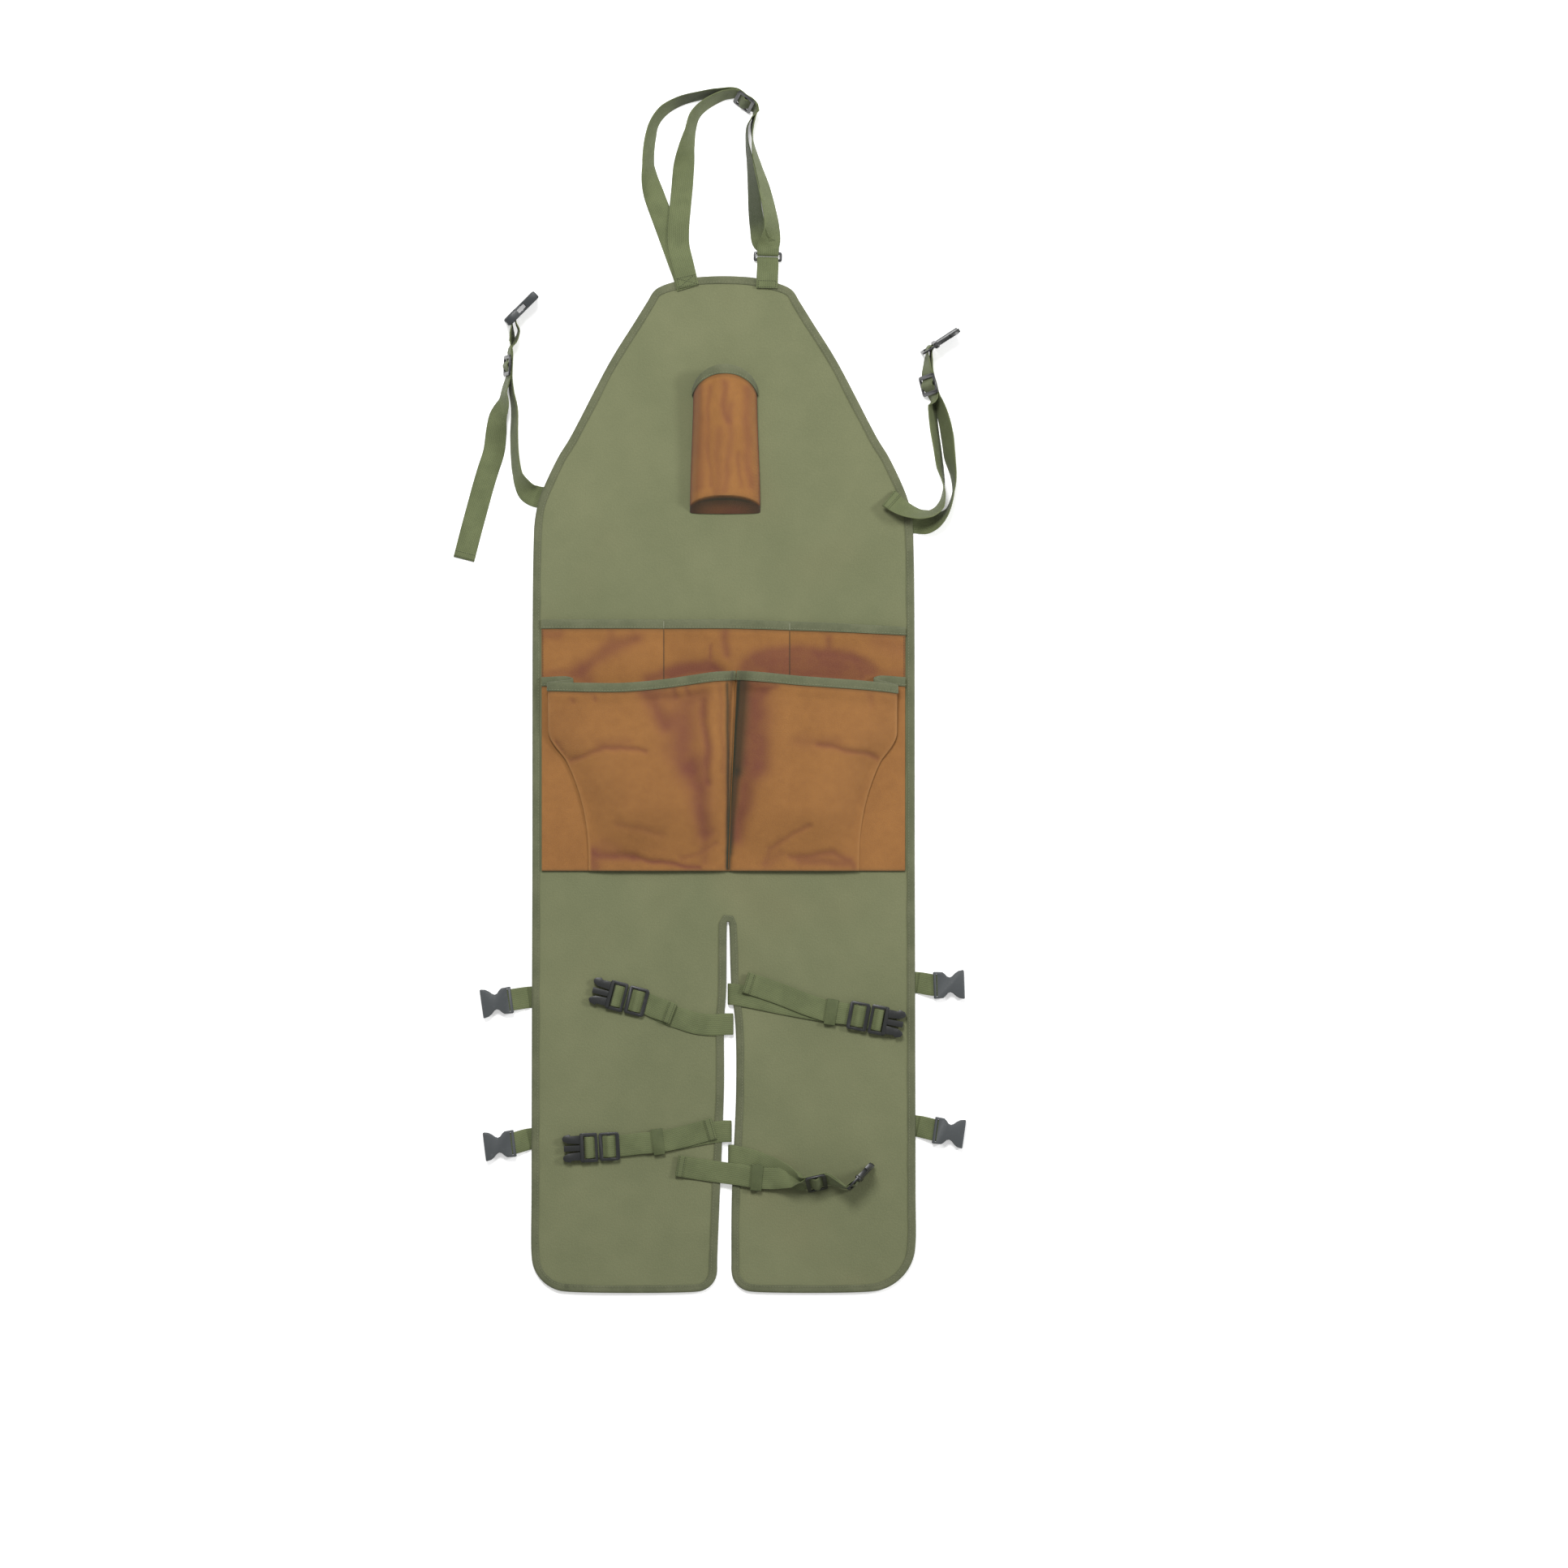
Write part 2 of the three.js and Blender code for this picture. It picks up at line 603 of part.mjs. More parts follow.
function sliderBody() {
  const solid = solidOf(plate(roundedRectangle(SLIDER_LENGTH, SLIDER_SIDE, 3), PLATE));
  const slots = [box(BAR / 2, BAR_EDGE, HOLE_HALF, PLATE), box(-BAR_EDGE, -BAR / 2, HOLE_HALF, PLATE)];
  return geometryOf(cut(solid, ...slots));
}

const RING_LENGTH = 2 * BAR + RING_SLOT;

function ringBody() {
  const solid = solidOf(plate(roundedRectangle(RING_LENGTH, SLIDER_SIDE, 2), PLATE));
  return geometryOf(cut(solid, box(BAR - RING_LENGTH / 2, RING_LENGTH / 2 - BAR, HOLE_HALF, PLATE)));
}

// Plug: two slots for the strap, a thick body, two springy prongs and a guide between them
function plugBody(length) {
  const end = -length / 2;
  const slotsEnd = end + 2.9 * BAR + BAR_SLOT;
  const bodyEnd = slotsEnd + 0.11 * length;
  const bars = plate(roundedRectangle(bodyEnd - end, BUCKLE_SIDE, 2), PLATE);
  const slots = [
    box(end + BAR, end + BAR + BAR_SLOT, HOLE_HALF, PLATE),
    box(end + 2 * BAR + BAR_SLOT, slotsEnd, HOLE_HALF, PLATE),
  ];
  const barPlate = geometryOf(cut(solidOf(bars.translate((end + bodyEnd) / 2, 0, 0)), ...slots));
  const block = roundedRectangle(bodyEnd - slotsEnd, BUCKLE_SIDE - 1, 2);
  const body = plate(block, 3.2 * PLATE, 0.8).translate((slotsEnd + bodyEnd) / 2, 0, 0);
  const tip = length / 2;
  const prong = new THREE.Shape();
  const foot = bodyEnd - 1;
  const reach = tip - foot;
  const outer = BUCKLE_SIDE / 2 - 4.5;
  prong.moveTo(foot, outer - 7.9);
  prong.lineTo(tip - 0.3 * reach, outer - 6.6);
  prong.lineTo(tip - 0.04 * reach, outer - 3.6);
  prong.lineTo(tip, outer - 0.8);
  prong.lineTo(tip - 0.1 * reach, outer + 2.2);
  prong.lineTo(tip - 0.4 * reach, outer + 3.8);
  prong.lineTo(tip - 0.47 * reach, outer + 1.7);
  prong.lineTo(foot, outer + 1.9);
  const upper = plate(prong, 2.1 * PLATE);
  const lower = upper.clone().rotateX(Math.PI);
  const guide = box(foot, tip - 0.08 * reach, 3.3, 0.9 * PLATE);
  return geometryOf(joined(barPlate, body, upper, lower, guide));
}

const SOCKET_WALL = 2.2;

// Socket: flared mouth, hollow for the prongs, waisted sides for the fingers and a bar for the strap
function waistedPlate(rows) {
  const side = (sign) => rows.map(([x, y]) => new THREE.Vector2(x, sign * y));
  const shape = new THREE.Shape();
  shape.setFromPoints([...side(-1), ...side(1).reverse()]);
  return solidOf(plate(shape, SOCKET_THICKNESS, 1.2));
}

const WAIST_SHARES = [
  // along the socket, half width
  [0, 0.88], [0.04, 0.92], [0.3, 0.89], [0.38, 0.76], [0.46, 0.56], [0.54, 0.5],
  [0.62, 0.58], [0.72, 0.79], [0.82, 0.93], [0.97, 0.99], [1, 0.94],
];
const SOCKET_HOOD = 1.7;
const STRAP_HOLLOW = 11.4;

const socketBar = endBar(LEG_SOCKET_LENGTH) + BAR + BAR / 2 + GAP;

// The strap's bar is under the hood, behind a narrow groove
function legSocket(length) {
  const back = -length / 2;
  const half = BUCKLE_SIDE / 2;
  const outer = waistedPlate(WAIST_SHARES.map(([s, y]) => [back + s * length, y * half]));
  const hoodFloor = SOCKET_THICKNESS / 2 - SOCKET_HOOD;
  const hollow = box(back - 1, back + STRAP_HOLLOW, HOLE_HALF, SOCKET_THICKNESS);
  const groove = box(back + BAR, back + 1.4 * BAR, HOLE_HALF, SOCKET_THICKNESS);
  const solid = cut(
    outer,
    hollow.translate(0, 0, hoodFloor - SOCKET_THICKNESS),
    groove,
    box(back + STRAP_HOLLOW + SOCKET_WALL, length, HOLE_HALF, SOCKET_THICKNESS / 2 - SOCKET_WALL),
  );
  const bar = box(socketBar - BAR / 2, socketBar + BAR / 2, HOLE_HALF + 1, PLATE / 2);
  return geometryOf(solid.add(solidOf(bar)));
}

// The waist socket keeps two open slots, and its strap hangs across them
function waistSocket(length) {
  const back = -length / 2;
  const arm = 2 * BAR + BAR_SLOT + 5;
  const side = BUCKLE_SIDE / 2;
  const outer = waistedPlate([
    [back, side - 3.5], [back + 1.5, side - 2.2], [back + 0.22 * length, side - 1],
    [back + 0.36 * length, side - 2.2], [back + 0.5 * length, side - 3.6],
    [back + 0.64 * length, side - 2.4], [back + 0.8 * length, side - 0.3],
    [length / 2 - 1, side], [length / 2, side - 0.8],
  ]);
  const cavityHalf = SOCKET_THICKNESS / 2 - SOCKET_WALL;
  const solid = cut(
    outer,
    box(back + arm + 3, length, HOLE_HALF, cavityHalf),
    box(back + 0.38 * length, back + 0.62 * length, side + 1, cavityHalf - 0.4),
    box(back - 1, back + arm, HOLE_HALF, SOCKET_THICKNESS),
  );
  const barAt = (x) => solidOf(box(x, x + BAR, HOLE_HALF + 1, PLATE / 2));
  return geometryOf(solid.add(barAt(back)).add(barAt(back + BAR + BAR_SLOT)));
}

// Keeper: a loop of webbing round two layers of strap
function keeperBody(layers) {
  const high = layers * LAYER + 2 * GAP;
  const wide = WEBBING_WIDTH + 2 * GAP + 2;
  const loop = plate(roundedRectangle(high + 2 * WEBBING, wide + 2 * WEBBING, WEBBING), KEEPER_LENGTH);
  const solid = solidOf(loop.rotateY(Math.PI / 2));
  return geometryOf(cut(solid, box(-KEEPER_LENGTH, KEEPER_LENGTH, wide / 2, high / 2)));
}

piece('apron_panel', apronPanel(), canvasGreen);
piece('edge_binding', edgeBinding(), tapeGreen);
piece('rear_pocket', clothSheet(rearSurface, rearColumns, rearRows, POCKET_CLOTH), pocketBrown);
piece('rear_pocket_binding', mouthTape(rearSurface, rearColumns, REAR_TAPE_ROW, POCKET_CLOTH), tapeGreen);

const chestColumns = evenly(14);
const chestTapeRow = TAPE_WIDTH / CHEST_POCKET_LENGTH;
const chestRows = [0, chestTapeRow, 0.25, 0.5, 0.75, 0.9, 0.95, 1];
piece('chest_pocket', clothSheet(chestSurface, chestColumns, chestRows, POCKET_CLOTH), pocketBrown);
piece('chest_pocket_binding', mouthTape(chestSurface, chestColumns, chestTapeRow, POCKET_CLOTH), tapeGreen);

const frontTapeRow = TAPE_WIDTH / (down(LEFT_FOLDS[7][2]) - FRONT_FOOT);
const frontRows = [0, frontTapeRow, 0.12, 0.25, 0.42, 0.6, 0.76, 0.92, 1];
// Between the folds one more column where the cloth turns sharply
const TURNS = { left: [0, 1, 2, 3, 4, 5, 11, 12, 13], right: [0, 1, 2, 7, 8, 9, 10, 11, 12] };
for (const [side, folds] of [['left', LEFT_FOLDS], ['right', RIGHT_FOLDS]]) {
  const surface = frontSurface(folds);
  const spans = folds.length - 1;
  const columns = [...evenly(spans), ...TURNS[side].map((i) => (i + 0.5) / spans)].sort((a, b) => a - b);
  piece(`front_pocket_${side}`, clothSheet(surface, columns, frontRows, POCKET_CLOTH), pocketBrown);
  piece(`front_pocket_binding_${side}`, mouthTape(surface, columns, frontTapeRow, POCKET_CLOTH), tapeGreen);
}

// Neck strap: sewn to the left of the bib, over the top through its slider, down to the ring on the
// right, back through the slider, and down the left again to the same seam
const neckSlider = frame([0.1078, -0.1702, -37, 0, 69, 0]);
const neckRing = frame([0.2304, -0.0192, -92, 0, 0, 0]);
const NECK_UP = [
  // across, down, roll, over
  [-0.1882, 0.012, 0, 1],
  [-0.2072, 0, 0, 1],
  [-0.2304, -0.012, 0, 0.7],
  [-0.2643, -0.0296, 0, 0.12],
  [-0.315, -0.0559, 2, 0],
  [-0.3615, -0.0799, 14, 0],
  [-0.3827, -0.0942, 38, 0],
  [-0.3911, -0.1086, 58, 0],
  [-0.389, -0.123, 60, 0],
  [-0.3784, -0.1374, 62, 0],
  [-0.3594, -0.1502, 67, 0],
  [-0.3108, -0.1625, 66, 0],
  [-0.2262, -0.1717, 70, 0],
  [-0.1247, -0.1769, 73, 0],
  [-0.019, -0.1801, 73, 0],
];
const NECK_DOWN = [
  [0.1501, -0.147, 82, 0],
  [0.1522, -0.1326, 92, 0],
  [0.1734, -0.1118, 110, 0],
  [0.2114, -0.0871, 122, 0],
  [0.2389, -0.0647, 127, 0],
  [0.2516, -0.0471, 134, 0],
  [0.2431, -0.0343, 160, 0.55],
];
const NECK_BACK = [
  [0.2008, -0.0335, -22, 0],
  [0.1797, -0.0463, -44, 0],
  [0.1649, -0.0647, -52, 0],
  [0.1564, -0.0871, -58, 0],
  [0.1395, -0.1118, -72, 0],
  [0.1226, -0.131, -84, 0],
  [0.1247, -0.147, -86, 0],
];
const NECK_TAIL = [
  [-0.0085, -0.1769, -69, 0],
  [-0.1036, -0.1669, -66, 0],
  [-0.1501, -0.1573, -64, 0],
  [-0.1734, -0.1422, -62, 0],
  [-0.1945, -0.1246, -42, 0],
  [-0.2072, -0.107, -12, 0.05],
  [-0.2156, -0.0879, 0, 0.28],
  [-0.2262, -0.0671, 0, 0.36],
  [-0.2347, -0.0463, 0, 0.42],
  [-0.2326, -0.0296, 0, 0.62],
  [-0.2135, -0.0136, 0, 1.06],
  [-0.1987, -0.0016, 0, 1.3],
  [-0.1839, 0.0104, 0, 1.3],
];
const ringBar = RING_LENGTH / 2 - BAR / 2;
const aboveRing = stations(neckRing, [[-ringBar - 2.2 * BAR, LIFT + 1.3 * GAP]]);
const underRing = stations(neckRing, [[-ringBar - 2.2 * BAR, -LIFT - GAP]]);
piece('neck_slider', sliderBody(), buckleGrey, neckSlider);
piece('neck_ring', ringBody(), buckleGrey, neckRing);
piece('neck_strap', ribbon([
  ...strand(NECK_UP),
  ...underSlider(neckSlider),
  ...strand(NECK_DOWN),
  ...aboveRing,
  ...turnRound(neckRing, -ringBar, 1).reverse(),
  ...underRing,
  ...strand(NECK_BACK),
  ...stations(neckSlider, [[APPROACH + BAR, -LIFT - GAP]]),
  ...overSlider(neckSlider).reverse(),
  ...strand(NECK_TAIL),
]), webbingGreen);

// Neck tab: folded round the ring and sewn to the right of the bib
const TAB_UNDER = [
  [0.2304, -0.0104, 0, 0.25],
  [0.2283, -0.0016, 0, 1],
  [0.2262, 0.012, 0, 1],
];
const TAB_OVER = [
  [0.2262, 0.012, 0, 1.28],
  [0.2283, -0.0016, 0, 1.28],
  [0.2304, -0.0104, 0, 1],
];
piece('neck_tab', ribbon([
  ...strand(TAB_OVER),
  ...turnRound(neckRing, ringBar, -1).reverse(),
  ...strand(TAB_UNDER),
]), webbingGreen);

// Waist straps: sewn behind each side edge, through a slider to the buckle and back to a free end
const waistSliderLeft = frame([-1.1239, 0.0887, 88, 0, -76, 0]);
const waistBuckleLeft = frame([-1.0507, 0.0327, 45, 0, -84, 0]);
const WAIST_LEFT_UP = [
  [-0.8097, 0.2181, 0, 0],
  [-0.9281, 0.2181, 0, 0],
  [-0.9746, 0.2169, 0, 0],
  [-1.0127, 0.2133, -16, 0],
  [-1.0402, 0.2069, -40, 0],
  [-1.0698, 0.1957, -62, 0],
  [-1.0846, 0.1773, -66, 0],
  [-1.0888, 0.1558, -67, 0],
  [-1.0867, 0.1318, -70, 0],
  [-1.1015, 0.1142, -76, 0],
];
const WAIST_LEFT_TWIST = [
  [-1.1099, 0.0719, -78, 0.2],
  [-1.0803, 0.0639, -78, 0.4],
  [-1.0634, 0.0543, -82, 0.7],
];
const WAIST_LEFT_BACK = [
  [-1.0994, 0.0559, -82, 0.7],
  [-1.0994, 0.0647, -78, 0.4],
];
const WAIST_LEFT_TAIL = [
  [-1.1395, 0.1134, -106, 0],
  [-1.1438, 0.1246, -124, 0],
  [-1.1734, 0.139, -150, 0],
  [-1.1839, 0.1534, -168, 0],
  [-1.1966, 0.1725, 180, 0],
  [-1.2283, 0.1917, 180, 0],
  [-1.2558, 0.2093, 180, 0],
  [-1.2854, 0.23, 180, 0],
  [-1.3129, 0.2492, 180, 0],
  [-1.3531, 0.2788, 180, 0],
];
piece('waist_slider_left', sliderBody(), buckleGrey, waistSliderLeft);
piece('waist_socket', waistSocket(WAIST_SOCKET_LENGTH), buckleGrey, waistBuckleLeft);
piece('waist_strap_left', ribbon([
  ...strand(WAIST_LEFT_UP),
  ...underSlider(waistSliderLeft),
  ...strand(WAIST_LEFT_TWIST),
  ...aroundBar(waistBuckleLeft, WAIST_SOCKET_LENGTH),
  ...strand(WAIST_LEFT_BACK),
  ...overSlider(waistSliderLeft).reverse(),
  ...strand(WAIST_LEFT_TAIL),
]), webbingGreen);

const waistSliderRight = frame([1.0655, 0.1078, 104, 0, -60, 0]);
const waistBuckleRight = frame([1.1268, 0.0651, 33, 0, -82, 0]);
const WAIST_RIGHT_UP = [
  [0.8605, 0.242, 0, 0],
  [1.0085, 0.2428, 0, 0],
  [1.0592, 0.244, -20, 0],
  [1.1142, 0.2404, -50, 0],
  [1.1691, 0.23, -80, 0],
  [1.1966, 0.2125, -88, 0],
  [1.1966, 0.1965, -76, 0],
  [1.1776, 0.1781, -60, 0],
  [1.1649, 0.1581, -56, 0],
  [1.1438, 0.139, -60, 0],
  [1.1142, 0.1246, -62, 0],
];
const WAIST_RIGHT_TAIL = [
  [1.0825, 0.1254, -72, 0],
  [1.0888, 0.1374, -66, 0],
  [1.0973, 0.1518, -66, 0],
  [1.1121, 0.1693, -68, 0],
  [1.1268, 0.1885, -70, 0],
  [1.1438, 0.2029, -84, 0],
  [1.1459, 0.2141, -96, 0.1],
  [1.1268, 0.2268, -108, 0.3],
  [1.0761, 0.234, -112, 1],
  [1.0085, 0.2344, -120, 1],
  [0.9366, 0.2292, -138, 1],
  [0.8562, 0.2188, -160, 1],
];
piece('waist_slider_right', sliderBody(), buckleGrey, waistSliderRight);
piece('waist_plug', plugBody(WAIST_PLUG_LENGTH), buckleGrey, waistBuckleRight);
piece('waist_strap_right', ribbon([
  ...strand(WAIST_RIGHT_UP),
  ...underSlider(waistSliderRight),
  ...aroundBar(waistBuckleRight, WAIST_PLUG_LENGTH),
  ...overSlider(waistSliderRight).reverse(),
  ...strand(WAIST_RIGHT_TAIL),
]), webbingGreen);

// Leg tabs: short folded webbing from behind the panel's outer edge, each with a socket on it
const LEG_TABS = [
  // name, socket place, azimuth away from the leg, place where the tab goes under the edge
  ['upper_left', -1.1797, 0.7145, 188, -1.0127, 0.7101],
  ['upper_right', 1.1734, 0.6977, 2, 1.0127, 0.6957],
  ['lower_left', -1.1649, 0.8554, 187, -1.0127, 0.8498],
  ['lower_right', 1.1734, 0.8427, -8, 1.0127, 0.8371],
];
const TAB_TAIL = 35;
for (const [name, x, y, azimuth, edgeX, edgeY] of LEG_TABS) {
  const place = frame([x, y, azimuth, 0, 0, 0]);
  place.at.z = SOCKET_THICKNESS / 2 + GAP;
  const bar = socketBar;
  const w = place.w;
  const inward = edgeX < 0 ? 1 : -1;
  const edge = vec(across(edgeX), down(edgeY), WEBBING / 2);
  const under = [
    { at: edge.clone().add(vec(inward * TAB_TAIL, 0, 0)), w: vec(0, 1, 0) },
    { at: edge, w: vec(0, 1, 0) },
  ];
  const sewn = { at: edge.clone().add(vec(-inward, 0, LAYER + GAP)), w: vec(0, 1, 0) };
  piece(`leg_socket_${name}`, legSocket(LEG_SOCKET_LENGTH), buckleGrey, place);
  piece(`leg_tab_${name}`, ribbon([
    ...under,
    ...stations(place, [[bar - 1.6 * BAR, -LIFT - 2.7 * GAP]]),
    ...turnRound(place, bar, 1),
    ...stations(place, [[bar - 1.6 * BAR, LIFT]]),
    sewn,
  ]), webbingGreen);
}

// Leg straps: sewn behind the inner edges, folded out through the slit and over the front,
// through a slider to the plug and back to a free end
function foldOver(edge, y, side, reach) {
  const low = WEBBING / 2;
  const high = FRONT + WEBBING / 2;
  const middle = (low + high) / 2;
  const half = (high - low) / 2;
  return [-80, -40, 0, 40, 80].map(degrees).map((a) => ({
    at: vec(across(edge) + side * reach * Math.cos(a), down(y), middle + half * Math.sin(a)),
    w: vec(0, 1, 0),
  }));
}

const buckleAt = (row, length, turn) => {
  const place = frame(row);
  const step = SLIDER_LENGTH / 2 + length / 2 + 5 * GAP;
  const next = { ...place, at: place.at.clone().addScaledVector(place.t, step) };
  return turn ? frame(turn) : next;
};

const LEG_STRAPS = [
  {
    name: 'upper_left',
    hidden: [-0.167, 0.7364],
    fold: [0.0106, 0.7364, 1, 9],
    up: [
      [-0.0571, 0.7372, 0, 1],
      [-0.1416, 0.7356, 0, 1],
      [-0.2262, 0.7308, 0, 0.95],
      [-0.3108, 0.7252, 0, 0.86],
    ],
    slider: [-0.4524, 0.7137, 165.3, 0, 0, 0.8],
    tail: [
      [-0.3615, 0.7196, 0, 1.18],
      [-0.3108, 0.7228, 0, 1.3],
      [-0.26, 0.7264, 0, 1.7],
    ],
  },
  {
    name: 'upper_right',
    hidden: [0.2474, 0.7069],
    fold: [0.0465, 0.7069, -1, 5.2],
    up: [
      [0.1459, 0.7101, 0, 1],
      [0.2896, 0.7157, 0, 0.95],
      [0.4503, 0.7212, 0, 1.0],
      [0.5603, 0.7244, 0, 1.09],
    ],
    slider: [0.7019, 0.7284, -10.8, 0, 0, 1],
    tail: [
      [0.5603, 0.7244, 0, 1.38],
      [0.4503, 0.7181, 0, 1.36],
      [0.2981, 0.7069, 0, 1.3],
      [0.1882, 0.6997, 0, 1.34],
      [0.1121, 0.6949, 0, 1.6],
    ],
    keeper: [0.5603, 0.7244, -9, 2, 1.235],
  },
  {
    name: 'lower_left',
    hidden: [-0.1839, 0.8419],
    fold: [0.0042, 0.8419, 1, 8],
    up: [
      [-0.074, 0.8435, 0, 1],
      [-0.1839, 0.8474, 0, 1.0],
      [-0.2685, 0.8502, 0, 1.07],
      [-0.3404, 0.8522, 0, 1.09],
      [-0.4376, 0.8542, 0, 1.1],
    ],
    slider: [-0.5941, 0.8566, 183, 0, 0, 1],
    tail: [
      [-0.4376, 0.8538, 0, 1.42],
      [-0.3404, 0.8522, 0, 1.38],
      [-0.26, 0.8494, 0, 1.36],
      [-0.1501, 0.8442, 0, 1.3],
      [-0.0486, 0.8387, 0, 1.45],
    ],
    keeper: [-0.3404, 0.8522, 187, 2, 1.235],
  },
  {
    name: 'lower_right',
    hidden: [0.2474, 0.8658],
    fold: [0.0423, 0.8658, -1, 3.6],
    up: [
      [0.1374, 0.8698, 0, 1],
      [0.2304, 0.8762, 0, 1],
      [0.315, 0.8834, 20, 1],
      [0.3869, 0.8914, 46, 1],
    ],
    slider: [0.4841, 0.8922, 12, 0, 56, 0.85],
    plug: [0.7125, 0.8858, 47, 0, 82, 0.85],
    tail: [
      [0.3784, 0.889, 44, 1.4],
      [0.3235, 0.8874, 18, 1.7],
      [0.2558, 0.8882, 0, 1.62],
      [0.1734, 0.8874, 0, 1.57],
      [0.0867, 0.8846, 0, 1.5],
      [-0.0148, 0.8822, 0, 1.2],
      [-0.1332, 0.879, 0, 1.05],
      [-0.2431, 0.8754, 0, 1.4],
    ],
    keeper: [0.1734, 0.8874, 175, 1, 1.57],
  },
];

for (const { name, hidden, fold, up, slider, plug, tail, keeper } of LEG_STRAPS) {
  const slide = frame(slider);
  const buckle = buckleAt(slider, LEG_PLUG_LENGTH, plug);
  piece(`leg_slider_${name}`, sliderBody(), buckleGrey, slide);
  piece(`leg_plug_${name}`, plugBody(LEG_PLUG_LENGTH), buckleGrey, buckle);
  piece(`leg_strap_${name}`, ribbon([
    { at: vec(across(hidden[0]), down(hidden[1]), WEBBING / 2), w: vec(0, 1, 0) },
    ...foldOver(...fold),
    ...strand(up),
    ...underSlider(slide),
    ...alongPlug(buckle, LEG_PLUG_LENGTH),
    ...overSlider(slide).reverse(),
    ...strand(tail),
  ]), webbingGreen);
  if (keeper) {
    const [x, y, azimuth, layers, over] = keeper;
    const place = frame([x, y, azimuth, 0, 0, 0]);
    place.at.z = WEBBING / 2 + over * FRONT;
    piece(`leg_keeper_${name}`, keeperBody(layers), webbingGreen, place);
  }
}

export default apron;
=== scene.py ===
# Gardening apron laid out flat on a pale floor and seen from straight above.
# Metres, +Z up, +Y towards the neck. The CAD solids are the frame that each piece is fitted to.
import math
from functools import partialmethod

import bmesh
import bpy
import numpy as np
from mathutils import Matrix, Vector
from mathutils.geometry import delaunay_2d_cdt


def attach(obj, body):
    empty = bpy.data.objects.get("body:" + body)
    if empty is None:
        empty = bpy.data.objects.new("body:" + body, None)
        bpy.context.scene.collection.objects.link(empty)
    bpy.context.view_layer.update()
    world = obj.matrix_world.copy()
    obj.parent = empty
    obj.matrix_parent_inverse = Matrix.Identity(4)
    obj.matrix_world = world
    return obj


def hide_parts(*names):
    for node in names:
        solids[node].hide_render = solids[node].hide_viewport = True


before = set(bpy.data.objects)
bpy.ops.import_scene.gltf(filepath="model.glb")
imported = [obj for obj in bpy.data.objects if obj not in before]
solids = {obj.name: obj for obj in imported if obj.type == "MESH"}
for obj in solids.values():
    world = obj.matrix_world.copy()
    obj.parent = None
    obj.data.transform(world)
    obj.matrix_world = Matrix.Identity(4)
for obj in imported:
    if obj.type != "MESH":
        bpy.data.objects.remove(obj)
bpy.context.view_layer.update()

# Canvas panel
# Bib, waist and both legs are one piece of heavy olive canvas, cut flat. It lies on its back and keeps
# low ripples from packing.
CANVAS = 0.0016
PANEL_BOTTOM = 0.003
PANEL_TOP = PANEL_BOTTOM + CANVAS
CANVAS_YARN = 0.0011
CLOTH_STEP = 0.0075
EDGE_STEP = 0.004
SAME_PLACE = 2e-5


def smooth(a, b, x):
    """0 at a, 1 at b and an even ease from one to the other."""
    t = np.clip((np.asarray(x, float) - a) / (b - a), 0, 1)
    return t * t * (3 - 2 * t)


def merged(node):
    """A copy of a CAD solid with its doubles joined."""
    mesh = bmesh.new()
    mesh.from_mesh(solids[node].data)
    bmesh.ops.remove_doubles(mesh, verts=mesh.verts, dist=SAME_PLACE)
    return mesh


def loop_area(loop):
    """The area inside a loop, more than 0 where it runs counterclockwise."""
    after = np.roll(loop, -1, axis=0)
    return (loop[:, 0] * after[:, 1] - after[:, 0] * loop[:, 1]).sum() / 2


def rim(node, level):
    """The corners of a flat solid's edge at one height, counterclockwise from above."""
    mesh = merged(node)
    beside = {}
    for e in mesh.edges:
        a, b = e.verts
        at_level = all(abs(v.co.z - level) < SAME_PLACE for v in e.verts)
        if at_level and e.calc_face_angle(0) > 1:
            beside.setdefault(a, []).append(b)
            beside.setdefault(b, []).append(a)
    first = min(beside, key=lambda v: (v.co.y, v.co.x))
    walk = [first]
    here = max(beside[first], key=lambda v: v.co.x)
    while here is not first:
        walk.append(here)
        here = next(v for v in beside[here] if v is not walk[-2])
    loop = np.array([v.co[:2] for v in walk])
    mesh.free()
    return loop if loop_area(loop) > 0 else loop[::-1]


def through(points, places):
    """A centripetal curve through points, at places counted in spans from the first point."""
    p = np.asarray(points, float)
    p = np.concatenate([[2 * p[0] - p[1]], p, [2 * p[-1] - p[-2]]])
    gaps = np.maximum(np.linalg.norm(np.diff(p, axis=0), axis=1) ** 0.5, 1e-6)
    places = np.clip(np.asarray(places, float), 0, len(points) - 1)
    span = np.minimum(places.astype(int), len(points) - 2)
    w = (places - span)[:, None]
    a, b, c, d = (p[span + k] for k in range(4))
    g0, g1, g2 = (gaps[span + k][:, None] for k in range(3))
    start = ((b - a) / g0 - (c - a) / (g0 + g1) + (c - b) / g1) * g1
    end = ((c - b) / g1 - (d - b) / (g1 + g2) + (d - c) / g2) * g1
    return (b + start * w + (3 * (c - b) - 2 * start - end) * w ** 2
            + (2 * (b - c) + start + end) * w ** 3)


def run_along(points):
    """How far along a path each of its points lies."""
    steps = np.linalg.norm(np.diff(points, axis=0), axis=1)
    return np.concatenate([[0], np.cumsum(steps)])


def evenly_along(points, step):
    """Places along a path a step apart, as for through."""
    run = run_along(points)
    count = max(2, int(round(run[-1] / step)))
    return np.interp(np.linspace(0, run[-1], count + 1), run, np.arange(len(points)))


def closed_through(loop, step):
    """Points a step apart on a closed curve through a loop's corners."""
    run = run_along(np.concatenate([loop, loop[:1]]))
    count = int(round(run[-1] / step))
    places = np.interp(np.linspace(0, run[-1], count + 1)[:-1], run, np.arange(len(run)))
    return through(np.concatenate([loop[-3:], loop, loop[:3]]), places + 3)


